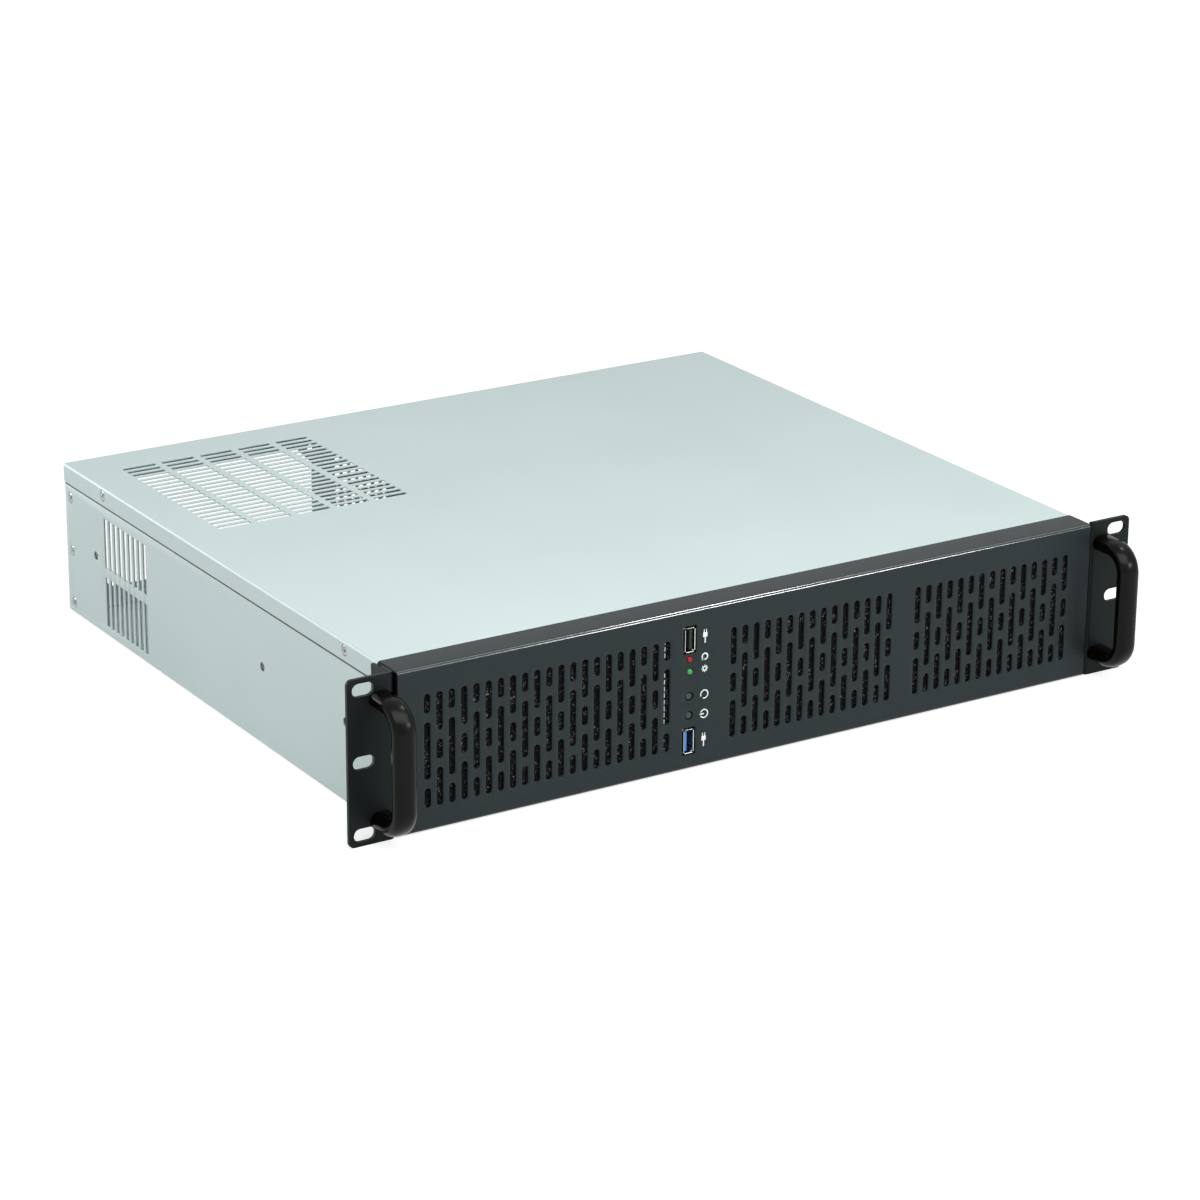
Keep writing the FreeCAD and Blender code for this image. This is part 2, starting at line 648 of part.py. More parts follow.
def build_bezel():
    body = new_body("front_bezel")
    sheet_t = s.bezel_sheet
    section = [
        (bezel_front, s.bezel_low), (bezel_front, s.bezel_high), (s.bezel_top_depth, s.bezel_high),
        (s.bezel_top_depth, s.bezel_high - sheet_t), (bezel_inside, s.bezel_high - sheet_t),
        (bezel_inside, s.bezel_low + sheet_t), (s.bezel_return, s.bezel_low + sheet_t),
        (s.bezel_return, s.bezel_low),
    ]
    ends = bay_ends()
    for left, right in zip(ends, ends[1:]):
        pad(body, "YZ_Plane", left, right, section)
    round_edges(body, s.bezel_bend, 0, (bezel_front, s.bezel_low), (bezel_front, s.bezel_high))
    inner = s.bezel_bend - sheet_t
    round_edges(body, inner, 0, (bezel_inside, s.bezel_low + sheet_t),
                (bezel_inside, s.bezel_high - sheet_t))
    cut_slots(body)
    x = s.control_place
    margin = s.port_rim + s.port_cut_play
    ports = [port_outline(x, height, margin) for height in (s.usb2_height, s.usb3_height)]
    holes = [(x, height, s.lamp_hole / 2) for height in (s.red_height, s.green_height)]
    holes += [(x, height, s.button_hole / 2) for height in (s.reset_height, s.power_height)]
    pocket(body, "XZ_Plane", bezel_front - PAST, bezel_inside + PAST, *ports, circles=holes)


def port_outline(x, z, margin):
    """A rectangle round a port's shell, wider by a margin on each side."""
    half_wide = s.port_wide / 2 + margin
    half_tall = s.port_tall / 2 + margin
    return box_outline(x - half_wide, z - half_tall, x + half_wide, z + half_tall)


# Front frame: stiffens the tray's mouth behind the bezel and backs the filters
def slot_group_span(start, columns):
    """First and last edge of a group of slot columns."""
    return start - s.slot_width / 2, start + s.slot_pitch * (columns - 1) + s.slot_width / 2


def build_front_frame():
    body = new_body("front_frame")
    sheet_t = s.inner_sheet
    wide = wall_upper - s.tray_sheet - s.seam
    low = s.tray_sheet + s.seam
    high = tray_top - s.tray_sheet - s.seam
    flange_back = frame_back + s.frame_flange
    inner = wide - s.tray_lip
    pad(body, "XZ_Plane", frame_front, frame_back, box_outline(-wide, low, wide, high))
    pad(body, "XZ_Plane", frame_back, flange_back, box_outline(-inner, low, inner, low + sheet_t))
    pad(body, "XZ_Plane", frame_back, flange_back, box_outline(-inner, high - sheet_t, inner, high))
    windows = []
    for number, (start, columns, _, _) in enumerate(SLOT_GROUPS):
        left, right = slot_group_span(start, columns)
        edge = right - s.window_stop if number == 0 else right + s.window_margin
        windows.append(box_outline(left - s.window_margin, s.slot_low - s.window_margin,
                                   edge, slot_top + s.window_margin))
    x = s.control_place
    ports = [port_outline(x, height, s.port_cut_play) for height in (s.usb2_height, s.usb3_height)]
    lamps = box_outline(x - s.lamp_hole / 2, s.green_height - s.lamp_hole / 2,
                        x + s.lamp_hole / 2, s.red_height + s.lamp_hole / 2)
    holes = [(x, height, s.button_hole / 2) for height in (s.reset_height, s.power_height)]
    pocket(body, "XZ_Plane", frame_front - PAST, frame_back + PAST, *windows, *ports, lamps, circles=holes)


def build_filters():
    """Open-cell foam pads between the bezel and the front frame."""
    thick = s.filter_thick
    front = bezel_inside + (frame_front - bezel_inside - thick) / 2
    labels = ("left_filter", "middle_filter", "right_filter")
    for label, (start, columns, _, _) in zip(labels, SLOT_GROUPS):
        left, right = slot_group_span(start, columns)
        margin = s.window_margin * 2
        low = (left - margin, front, s.slot_low - margin)
        high = (right + margin, front + thick, slot_top + margin)
        seat(block(label, low, high), label, front)


# Ears: bent from thick sheet, with the rack slots outside and a flange along the tray
def build_ear(label, side):
    body = new_body(label)
    inner, outer, tip = side * half_body, side * ear_outer, side * ear_tip
    plate = [(inner, 0), (tip, 0), (tip, s.ear_sheet), (outer, s.ear_sheet),
             (outer, s.ear_flange), (inner, s.ear_flange)]
    pad(body, "XY_Plane", 0, s.panel_height, plate)
    round_edges(body, s.ear_bend, 2, (inner, 0))
    edges = ordered(side * (half_body - PAST), side * (ear_outer + PAST))
    for low, high in ((0, s.ear_flange_drop), (s.panel_height - s.ear_flange_drop, s.panel_height)):
        pocket(body, "XY_Plane", low, high,
               box_outline(edges[0], s.ear_sheet, edges[1], s.ear_flange + PAST))
    round_edges(body, s.ear_corner, 1, (tip, 0), (tip, s.panel_height))
    middle = side * (ear_tip - s.rack_hole_inset)
    heights = (s.rack_hole_edge, middle_height, s.panel_height - s.rack_hole_edge)
    cut_rack_slots(body, [(middle, height) for height in heights], s.rack_slot_length - s.rack_slot_width)
    screws = [hidden_hole(side * handle_place, middle_height + s.handle_spacing / 2 * rise,
                          s.handle_screw / 2 + s.screw_play) for rise in (-1, 1)]
    pocket(body, "XZ_Plane", -PAST, s.ear_sheet + PAST, *screws)
    heads = [(s.ear_screw_depth, height, head_hole) for height in ear_screw_heights]
    pocket(body, "YZ_Plane", edges[0], edges[1], circles=heads)


def cut_rack_slots(body, centres, straight):
    """Round-ended slots, drawn with true arcs."""
    sketch = new_sketch(body, "XZ_Plane", -PAST)
    radius = s.rack_slot_width / 2
    for u, v in centres:
        left, right = u - straight / 2, u + straight / 2
        first = sketch.GeometryCount
        for centre, turn in ((left, math.pi / 2), (right, -math.pi / 2)):
            middle = FreeCAD.Vector(centre.value, v.value, 0)
            circle = Part.Circle(middle, FreeCAD.Vector(0, 0, 1), radius.value)
            sketch.addGeometry(Part.ArcOfCircle(circle, turn, turn + math.pi), False)
        for up, (start, end) in ((1, (right, left)), (-1, (left, right))):
            edge = v + radius * up
            sketch.addGeometry(Part.LineSegment(FreeCAD.Vector(start.value, edge.value, 0),
                                                FreeCAD.Vector(end.value, edge.value, 0)), False)
        joints = ((first, 1, first + 2, 2), (first + 2, 1, first + 1, 2),
                  (first + 1, 1, first + 3, 2), (first + 3, 1, first, 2))
        for joint in joints:
            sketch.addConstraint(Sketcher.Constraint("Tangent", *joint))
        pin_point(sketch, first, 3, left, v)
        pin_point(sketch, first + 1, 3, right, v)
        size = sketch.addConstraint(Sketcher.Constraint("Radius", first, radius.value))
        sketch.setExpression("Constraints[%d]" % size, radius.formula)
    feature = body.newObject("PartDesign::Pocket", body.Name + "_slots")
    feature.Profile = sketch
    feature.setExpression("Length", (s.ear_sheet + PAST * 2).formula)


# Handles: a flat oval bar bent to a bow, standing on the ear
def build_handle(label, side):
    body = new_body(label)
    low = middle_height - s.handle_spacing / 2
    high = middle_height + s.handle_spacing / 2
    path = new_sketch(body, "YZ_Plane", side * handle_place)
    reach, bend = -s.handle_reach, s.handle_bend
    corners = [(0, low, reach + bend, low), (reach, low + bend, reach, high - bend),
               (reach + bend, high, 0, high)]
    for values in corners:
        u_start, v_start, u_end, v_end = [sized(item).value for item in values]
        path.addGeometry(Part.LineSegment(FreeCAD.Vector(u_start, v_start, 0),
                                          FreeCAD.Vector(u_end, v_end, 0)), False)
    for centre_v, turn in ((low + bend, math.pi), (high - bend, math.pi / 2)):
        centre = FreeCAD.Vector((reach + bend).value, centre_v.value, 0)
        circle = Part.Circle(centre, FreeCAD.Vector(0, 0, 1), bend.value)
        path.addGeometry(Part.ArcOfCircle(circle, turn, turn + math.pi / 2), False)
    for joint in ((0, 2, 3, 2), (3, 1, 1, 1), (1, 2, 4, 2), (4, 1, 2, 1)):
        path.addConstraint(Sketcher.Constraint("Tangent", *joint))
    pin_point(path, 0, 1, 0, low)
    pin_point(path, 0, 2, reach + bend, low)
    pin_point(path, 1, 2, reach, high - bend)
    pin_point(path, 2, 1, reach + bend, high)
    pin_point(path, 2, 2, 0, high)
    section = new_sketch(body, "XZ_Plane", 0)
    radius = s.handle_thick / 2
    half_flat = s.handle_wide / 2 - radius
    left, right = side * handle_place - half_flat, side * handle_place + half_flat
    for centre, turn in ((left, math.pi / 2), (right, -math.pi / 2)):
        middle = FreeCAD.Vector(centre.value, low.value, 0)
        circle = Part.Circle(middle, FreeCAD.Vector(0, 0, 1), radius.value)
        section.addGeometry(Part.ArcOfCircle(circle, turn, turn + math.pi), False)
    for up, (start, end) in ((1, (right, left)), (-1, (left, right))):
        edge = low + radius * up
        section.addGeometry(Part.LineSegment(FreeCAD.Vector(start.value, edge.value, 0),
                                             FreeCAD.Vector(end.value, edge.value, 0)), False)
    for joint in ((0, 1, 2, 2), (2, 1, 1, 2), (1, 1, 3, 2), (3, 1, 0, 2)):
        section.addConstraint(Sketcher.Constraint("Tangent", *joint))
    pin_point(section, 0, 3, left, low)
    pin_point(section, 1, 3, right, low)
    size = section.addConstraint(Sketcher.Constraint("Radius", 0, radius.value))
    section.setExpression("Constraints[%d]" % size, radius.formula)
    pipe = body.newObject("PartDesign::AdditivePipe", body.Name + "_bow")
    pipe.Profile = section
    pipe.Spine = (path, [])
    depth = s.handle_screw_length - s.ear_sheet + PAST
    taps = [hidden_hole(side * handle_place, height, s.handle_screw / 2 + s.screw_play / 2)
            for height in (low, high)]
    pocket(body, "XZ_Plane", -depth, 0, *taps)


def build_screws():
    """Screw groups: each group is one kind of screw in its places."""
    groups = {"cover_screws": [], "rear_screws": [], "ear_screws": [], "handle_screws": []}
    for side in (-1, 1):
        tag = "left" if side < 0 else "right"
        for number, place in enumerate(cover_screw_places):
            name = "cover_screw_%s_%d" % (tag, number)
            groups["cover_screws"].append(side_screw(name, side, half_body, place, cover_screw_height))
        for number, height in enumerate(rear_screw_heights):
            name = "rear_screw_%s_%d" % (tag, number)
            groups["rear_screws"].append(side_screw(name, side, half_body, rear_screw_place, height))
        for number, height in enumerate(ear_screw_heights):
            name = "ear_screw_%s_%d" % (tag, number)
            groups["ear_screws"].append(side_screw(name, side, ear_outer, s.ear_screw_depth, height))
        for number, rise in enumerate((-1, 1)):
            name = "handle_screw_%s_%d" % (tag, number)
            z = middle_height + s.handle_spacing / 2 * rise
            start = (side * handle_place, s.ear_sheet + s.seam, z)
            head = rod(name + "_head", start, "+Y", s.handle_screw_head / 2, s.handle_screw_head_thick)
            shank = prism(name + "_shank", start, "-Y", s.handle_screw / 2, s.handle_screw_length)
            groups["handle_screws"].append(joined_pair(name, [head, shank]))
    for label, screws in groups.items():
        grouped(label, screws)


# Controls: ports, lamps and buttons on a small board that a folded bracket holds
def build_port(name, height, tongue_side):
    x = s.control_place
    front = bezel_front
    back = board_face - s.seam
    half_wide, half_tall = s.port_wide / 2, s.port_tall / 2
    body = new_body(name + "_shell")
    rim = s.port_rim
    pad(body, "XZ_Plane", front, front + rim, port_outline(x, height, rim))
    pad(body, "XZ_Plane", front + rim, back, port_outline(x, height, 0))
    pocket(body, "XZ_Plane", front - PAST, back + PAST, port_outline(x, height, -s.port_wall))
    inside_wide, inside_tall = half_wide - s.port_wall - s.seam, half_tall - s.port_wall - s.seam
    base = block(name + "_base", (x - inside_wide, back - s.tongue_block, height - inside_tall),
                 (x + inside_wide, back, height + inside_tall))
    middle = x + s.tongue_offset * tongue_side
    tongue = block(name + "_blade", (middle - s.tongue_thick / 2, back - s.tongue_block - s.tongue_long,
                                     height - s.tongue_tall / 2),
                   (middle + s.tongue_thick / 2, back - s.tongue_block, height + s.tongue_tall / 2))
    fused(name + "_tongue", [base, tongue])


def build_lamp(label, height):
    """A round lamp with a domed tip, a rim behind the bezel and two leads to the board."""
    x = s.control_place
    radius = s.lamp_diameter / 2
    shaft = rod(label + "_shaft", (x, bezel_front, height), "+Y", radius, s.lamp_shaft)
    dome = taper(label + "_dome", (x, bezel_front, height), "-Y", radius, radius / 2, radius / 2)
    rim_place = bezel_inside + s.seam
    rim = prism(label + "_rim", (x, rim_place, height), "+Y", s.lamp_rim / 2, s.lamp_rim_thick, 8)
    leads = []
    rim_back = rim_place + s.lamp_rim_thick
    half = s.lead_side / 2
    for number, way in enumerate((-1, 1)):
        z = height + s.lead_pitch / 2 * way
        leads.append(block("%s_lead_%d" % (label, number), (x - half, rim_back, z - half),
                           (x + half, board_face, z + half)))
    fused(label, [shaft, dome, rim] + leads)


def build_button(label, height):
    """A round plunger through the bezel, with a collar that holds it behind the front frame."""
    x = s.control_place
    front = bezel_front + s.button_recess
    collar_front = frame_back + s.seam
    collar_back = collar_front + s.button_collar_thick
    stem = rod(label + "_stem", (x, front, height), "+Y", s.button_diameter / 2, collar_back - front)
    collar = rod(label + "_collar", (x, collar_front, height), "+Y", s.button_collar / 2,
                 s.button_collar_thick)
    fused(label, [stem, collar])
    switch_front = board_face - s.switch_deep
    half = s.switch_side / 2
    case = block(label + "_case", (x - half, switch_front, height - half),
                 (x + half, board_face, height + half))
    tip_front = collar_back + s.button_travel + s.seam
    tip = rod(label + "_tip", (x, tip_front, height), "+Y", s.switch_tip / 2,
              switch_front - tip_front)
    fused(label.replace("button", "switch"), [case, tip])


def build_control_board():
    x = s.control_place
    half = s.board_wide / 2
    board = block("control_board", (x - half, board_face, s.board_low),
                  (x + half, board_face + s.board_thick, s.board_high))
    seat(board, "control_board", board_face)
    body = new_body("control_bracket")
    sheet_t = s.inner_sheet
    back = board_face + s.board_thick
    inner = half + s.seam
    outer = inner + sheet_t
    tab = outer + s.bracket_flange
    front = frame_back + s.seam
    section = [
        (x - tab, front), (x - inner, front), (x - inner, back + s.seam), (x + inner, back + s.seam),
        (x + inner, front), (x + tab, front), (x + tab, front + sheet_t), (x + outer, front + sheet_t),
        (x + outer, back + s.seam + sheet_t), (x - outer, back + s.seam + sheet_t),
        (x - outer, front + sheet_t), (x - tab, front + sheet_t),
    ]
    window_low = s.slot_low - s.window_margin
    pad(body, "XY_Plane", window_low, slot_top, section)


# Inside: slot covers, board standoffs, fan bracket, drive cage and the brace under the lid
def slot_middle(number):
    """Centre of an expansion slot, counted from the port opening."""
    return shield_left - s.slot_cover_gap - s.slot_cover_pitch * number


def build_slot_covers():
    """Blank covers inside the rear panel, each held by one screw above its slot."""
    back = panel_front - s.seam
    front = back - s.rear_sheet
    screws = []
    for number in range(SLOT_COVERS):
        body = new_body("slot_cover_%d" % (number + 1))
        middle = slot_middle(number)
        half = s.slot_cover_wide / 2 + s.slot_cover_margin
        pad(body, "XZ_Plane", front, back,
            box_outline(middle - half, s.slot_cover_low - s.slot_cover_foot,
                        middle + half, s.slot_cover_high + s.slot_cover_head))
        height = s.slot_cover_high + s.slot_screw_rise
        pocket(body, "XZ_Plane", front - PAST, back + PAST, hidden_hole(middle, height, shank_hole))
        name = "slot_screw_%d" % number
        place = (middle, front - s.seam, height)
        head = prism(name + "_head", place, "-Y", s.slot_screw_head / 2, s.slot_screw_head_thick, 12)
        shank = prism(name + "_shank", place, "+Y", s.screw_shank / 2, panel_back - front)
        screws.append(joined_pair(name, [head, shank]))
    grouped("slot_screws", screws)


def build_standoffs():
    pieces = []
    for column, across in enumerate((0, s.board_hole_middle, s.board_hole_wide)):
        for row, deep in enumerate((0, s.board_hole_deep)):
            x = half_body - s.board_hole_inset - across
            y = s.body_depth - s.board_hole_back - deep
            name = "standoff_%d_%d" % (column, row)
            start = (x, y, s.tray_sheet)
            post = prism(name + "_post", start, "+Z", s.standoff_flat / math.sqrt(3), s.standoff_tall)
            bore = rod(name + "_bore", start, "+Z", s.standoff_bore / 2, s.standoff_tall + PAST)
            item = doc.addObject("Part::Cut", name)
            item.Base, item.Tool = post, bore
            pieces.append(item)
    grouped("board_standoffs", pieces)


# Fans from the right wall inwards
fan_places = [half_body - s.fan_inset - s.fan_pitch * number for number in range(FANS)]


def build_fan_bracket():
    body = new_body("fan_bracket")
    sheet_t = s.inner_sheet
    half = s.fan_opening / 2 + s.fan_margin
    left, right = fan_places[-1] - half, fan_places[0] + half
    low = s.tray_sheet + s.seam
    front, back = s.fan_bracket_place, s.fan_bracket_place + sheet_t
    pad(body, "XZ_Plane", front, back, box_outline(left, low, right, s.fan_bracket_tall))
    pad(body, "XY_Plane", low, low + sheet_t, box_outline(left, back, right, back + s.fan_foot))
    pad(body, "XY_Plane", s.fan_bracket_tall - sheet_t, s.fan_bracket_tall,
        box_outline(left, back, right, back + s.fan_foot / 2))
    rounds = [(place, s.fan_height, s.fan_opening / 2) for place in fan_places]
    reach = s.fan_hole_pitch / 2
    holes = [(place + reach * across, s.fan_height + reach * up, s.fan_hole / 2)
             for place in fan_places for across in (-1, 1) for up in (-1, 1)]
    pocket(body, "XZ_Plane", front - PAST, back + PAST, circles=rounds + holes)


def build_drive_cage():
    body = new_body("drive_cage")
    sheet_t = s.inner_sheet
    left = s.cage_inset - half_body
    inner_left = left + sheet_t
    inner_right = inner_left + s.cage_inside
    right = inner_right + sheet_t
    low = s.tray_sheet + s.seam
    high = low + s.cage_tall
    section = [
        (left, high), (left, low), (right, low), (right, high),
        (inner_right, high), (inner_right, low + sheet_t), (inner_left, low + sheet_t), (inner_left, high),
    ]
    back = s.cage_front + s.cage_deep
    pad(body, "XZ_Plane", s.cage_front, back, section)
    start = s.cage_front + s.cage_slot_front
    rows = [box_outline(start, height, start + s.cage_slot_long, height + s.cage_slot_wide)
            for height in (low + s.cage_slot_low, low + s.cage_slot_low + s.cage_slot_rise)]
    cut = pocket(body, "YZ_Plane", left - PAST, right + PAST, *rows)
    repeat(body, cut, "Y_Axis", s.cage_slot_pitch, CAGE_SLOTS)


def build_brace():
    """A hat-shaped rail across the case, under the lid's flanges."""
    body = new_body("cross_brace")
    sheet_t = s.inner_sheet
    top = tray_top - s.tray_sheet - s.seam
    low = top - s.brace_drop
    y = s.brace_place
    half_top, half_foot = s.brace_top / 2, s.brace_top / 2 + s.brace_foot
    section = [
        (y - half_foot, top), (y - half_top, top),
        (y - half_top, low + sheet_t), (y + half_top, low + sheet_t),
        (y + half_top, top), (y + half_foot, top), (y + half_foot, top - sheet_t),
        (y + half_top + sheet_t, top - sheet_t), (y + half_top + sheet_t, low),
        (y - half_top - sheet_t, low), (y - half_top - sheet_t, top - sheet_t),
        (y - half_foot, top - sheet_t),
    ]
    half = wall_upper - s.tray_sheet - s.seam
    pad(body, "YZ_Plane", -half, half, section)


build_tray()
build_cover()
build_rear_panel()
build_bezel()
build_front_frame()
build_filters()
for side_name, side_sign in (("left", -1), ("right", 1)):
    build_ear(side_name + "_ear", side_sign)
    build_handle(side_name + "_handle", side_sign)
build_screws()
build_port("usb2", s.usb2_height, 1)
build_port("usb3", s.usb3_height, -1)
build_lamp("red_led", s.red_height)
build_lamp("green_led", s.green_height)
build_button("reset_button", s.reset_height)
build_button("power_button", s.power_height)
build_control_board()
build_slot_covers()
build_standoffs()
build_fan_bracket()
build_drive_cage()
build_brace()
doc.recompute()

# Checks before writing
faults = [item.Label for item in doc.Objects if {"Invalid", "Error"} & set(item.State)]
for label, item in parts.items():
    if item.Shape.isNull() or not item.Shape.isValid():
        faults.append(label)
if faults:
    raise RuntimeError("failed: " + ", ".join(faults))

os.makedirs("parts", exist_ok=True)
for label, item in parts.items():
    item.Shape.exportStep("parts/%s.step" % label)
    box = item.Shape.BoundBox
    print("%-18s solids %2d  volume %9.1f  x %7.1f %7.1f  y %7.1f %7.1f  z %6.1f %6.1f" % (
        label, len(item.Shape.Solids), item.Shape.Volume, box.XMin, box.XMax, box.YMin, box.YMax,
        box.ZMin, box.ZMax))
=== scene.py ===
import math

import bmesh
import bpy
import numpy as np
from mathutils import Matrix, Vector


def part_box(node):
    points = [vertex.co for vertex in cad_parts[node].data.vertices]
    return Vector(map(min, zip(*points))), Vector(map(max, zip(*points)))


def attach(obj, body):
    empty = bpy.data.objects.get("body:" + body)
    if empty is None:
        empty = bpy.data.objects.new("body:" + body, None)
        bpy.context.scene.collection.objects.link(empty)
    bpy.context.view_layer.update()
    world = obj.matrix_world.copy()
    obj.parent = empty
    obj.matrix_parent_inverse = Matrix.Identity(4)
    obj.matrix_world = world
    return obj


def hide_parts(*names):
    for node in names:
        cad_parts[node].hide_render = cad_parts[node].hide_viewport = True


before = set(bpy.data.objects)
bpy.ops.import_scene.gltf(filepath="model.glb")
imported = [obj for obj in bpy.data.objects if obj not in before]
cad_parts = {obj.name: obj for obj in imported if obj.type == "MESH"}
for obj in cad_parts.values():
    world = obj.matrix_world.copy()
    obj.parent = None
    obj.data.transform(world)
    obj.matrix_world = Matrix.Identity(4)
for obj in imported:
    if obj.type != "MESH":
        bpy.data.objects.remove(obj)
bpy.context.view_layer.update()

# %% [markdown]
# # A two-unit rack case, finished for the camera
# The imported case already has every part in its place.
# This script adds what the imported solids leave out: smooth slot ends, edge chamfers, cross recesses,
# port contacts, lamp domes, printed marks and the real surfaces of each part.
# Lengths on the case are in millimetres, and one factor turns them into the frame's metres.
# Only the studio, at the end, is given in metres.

MM = 0.001


def box_mm(node):
    """Lowest and highest corner of a CAD node, in millimetres."""
    low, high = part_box(node)
    return np.array(low) / MM, np.array(high) / MM


# %% [markdown]
# Every new piece is a set of surfaces given by formulas.
# A surface is a grid of points, rows by columns, and its faces join each point to its neighbours.
# The points could also be drawn by hand and subdivided, but a formula keeps arcs round at any size
# and lets a slot or a screw be repeated by a plain loop.

# %% Meshes from grids
def grid_faces(rows, columns, closed=False):
    """Quads of a grid; with closed, the last column joins the first."""
    across = columns if closed else columns - 1
    row, column = np.meshgrid(np.arange(rows - 1), np.arange(across), indexing="ij")
    after = (column + 1) % columns
    first = row * columns
    quads = [first + column, first + after, first + columns + after, first + columns + column]
    return np.stack(quads, -1).reshape(-1, 4)


def gather(surfaces):
    """Put several (points, faces) surfaces into one."""
    points, faces, start = [], [], 0
    for surface_points, surface_faces in surfaces:
        points.append(np.asarray(surface_points, float).reshape(-1, 3))
        faces.append(np.asarray(surface_faces) + start)
        start += len(points[-1])
    return np.concatenate(points), np.concatenate(faces)


def new_piece(name, surfaces, material, body="case", replaces=(), sharp_deg=35, turn_out=True):
    """A mesh piece in the frame's axes from surfaces in millimetres; it rides on a body.
    Edges that turn by more than sharp_deg stay sharp, and all others are shaded smooth."""
    points, faces = gather(surfaces)
    mesh = bpy.data.meshes.new(name)
    mesh.from_pydata((points * MM).tolist(), [], faces.tolist())
    weld_near(mesh, turn_out)
    mesh.polygons.foreach_set("use_smooth", [True] * len(mesh.polygons))
    mesh.set_sharp_from_angle(angle=math.radians(sharp_deg))
    mesh.materials.append(material)
    piece = bpy.data.objects.new(name, mesh)
    bpy.context.scene.collection.objects.link(piece)
    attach(piece, body)
    if replaces:
        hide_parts(*replaces)
    return piece


def weld_near(mesh, turn_out):
    """Join points that share a place, and turn all faces outward unless they already are."""
    work = bmesh.new()
    work.from_mesh(mesh)
    bmesh.ops.remove_doubles(work, verts=work.verts, dist=0.002 * MM)
    bmesh.ops.dissolve_degenerate(work, edges=work.edges, dist=0.001 * MM)
    if turn_out:
        bmesh.ops.recalc_face_normals(work, faces=work.faces)
    work.to_mesh(mesh)
    work.free()


def sheet_quad(corners):
    """One flat four-sided face."""
    return np.array(corners, float), np.array([[0, 1, 2, 3]])


print("mesh tools ready")

# %% [markdown]
# ## Materials
# Each material starts from the real one: what it is, how rough it is and how large its grain is.
# Grain sizes are in millimetres on the object, so one pattern looks right on a screw and on the lid.
# Pictures could be wrapped round the parts instead, but they stretch at the folds, and noise doesn't.

# %% Material tools
def linear(code):
    """sRGB hex code to linear colour: c/12.92 up to 0.04045, else ((c + 0.055)/1.055)**2.4."""
    parts = [int(code[place:place + 2], 16) / 255 for place in (1, 3, 5)]
    return [c / 12.92 if c <= 0.04045 else ((c + 0.055) / 1.055) ** 2.4 for c in parts] + [1.0]


def add(material, kind, inputs=(), **settings):
    """Add a node with its settings; an input is a value or another node's socket."""
    tree = material.node_tree
    node = tree.nodes.new(kind)
    for key, value in settings.items():
        setattr(node, key, value)
    for socket, value in dict(inputs).items():
        if isinstance(value, bpy.types.NodeSocket):
            tree.links.new(value, node.inputs[socket])
        else:
            node.inputs[socket].default_value = value
    return node


def new_material(name, colour, metallic, roughness, **more):
    """A plain surface; returns the material and its shader node."""
    material = bpy.data.materials.new(name)
    material.use_nodes = True
    shader = material.node_tree.nodes["Principled BSDF"]
    values = {"Base Color": linear(colour), "Metallic": metallic, "Roughness": roughness}
    values.update({key.replace("_", " "): value for key, value in more.items()})
    for socket, value in values.items():
        shader.inputs[socket].default_value = value
    return material, shader


def noise(material, size_mm, detail=2.0, stretch=(1, 1, 1)):
    """Noise in object space whose grains are about size_mm wide."""
    place = add(material, "ShaderNodeTexCoord")
    scaled = add(material, "ShaderNodeMapping", {"Vector": place.outputs["Object"], "Scale": stretch})
    return add(material, "ShaderNodeTexNoise",
               {"Vector": scaled.outputs["Vector"], "Scale": 1 / (size_mm * MM), "Detail": detail})


def spread(material, source, low, high):
    """Turn the middle of a noise, 0.3..0.7, or a plain 0 or 1 into low..high."""
    node = add(material, "ShaderNodeMapRange", {"Value": source, "From Min": 0.3, "From Max": 0.7,
                                                "To Min": low, "To Max": high})
    return node.outputs["Result"]


def mix_colours(material, amount, first, second):
    """Blend two colours by a 0..1 value."""
    node = add(material, "ShaderNodeMix", data_type="RGBA")
    material.node_tree.links.new(amount, node.inputs["Factor"])
    for socket, value in (("A", first), ("B", second)):
        target = next(item for item in node.inputs if item.name == socket and item.type == "RGBA")
        target.default_value = linear(value)
    return next(item for item in node.outputs if item.type == "RGBA")


def bump(material, shader, height, depth_mm):
    """Raise the surface by a height of at most depth_mm."""
    node = add(material, "ShaderNodeBump", {"Height": height, "Distance": depth_mm * MM, "Strength": 1.0})
    material.node_tree.links.new(node.outputs["Normal"], shader.inputs["Normal"])


def wire(material, output, shader, socket):
    """Link an output to one of the shader's inputs."""
    material.node_tree.links.new(output, shader.inputs[socket])


print("material tools ready")


# %% [markdown]
# The tray, the lid and the inner sheets are satin zinc-coated steel, cold rolled, with a faint roll grain.
# It gives the eye a pale, slightly blue-green sheet with soft clouds and no clear mirror image.
# Above the step under the lid's skirt the tray has a painted shade, dark and not metallic, for the shadow in
# that groove, and the front of the frame behind the face has a black painted shade, for the shade that lies
# behind the face.
# A plane across one axis parts the two tones, because both borders are straight folds.

# %% Zinc sheet
def zinc_sheet(name="zinc_sheet"):
    """Satin zinc-coated sheet: pale, a quarter metallic, with clouds of 90 mm and a 0.25 mm grain."""
    material, shader = new_material(name, "#C0D0CF", 0.27, 0.5, Specular_IOR_Level=0.35)
    clouds = noise(material, 90, 1.0)
    cloudy = spread(material, clouds.outputs["Fac"], 0, 1)
    wire(material, mix_colours(material, cloudy, "#BFCFCE", "#C2D2D1"), shader, "Base Color")
    grain = noise(material, 0.25, 1.0)
    wire(material, spread(material, grain.outputs["Fac"], 0.46, 0.54), shader, "Roughness")
    bump(material, shader, grain.outputs["Fac"], 0.002)
    return material


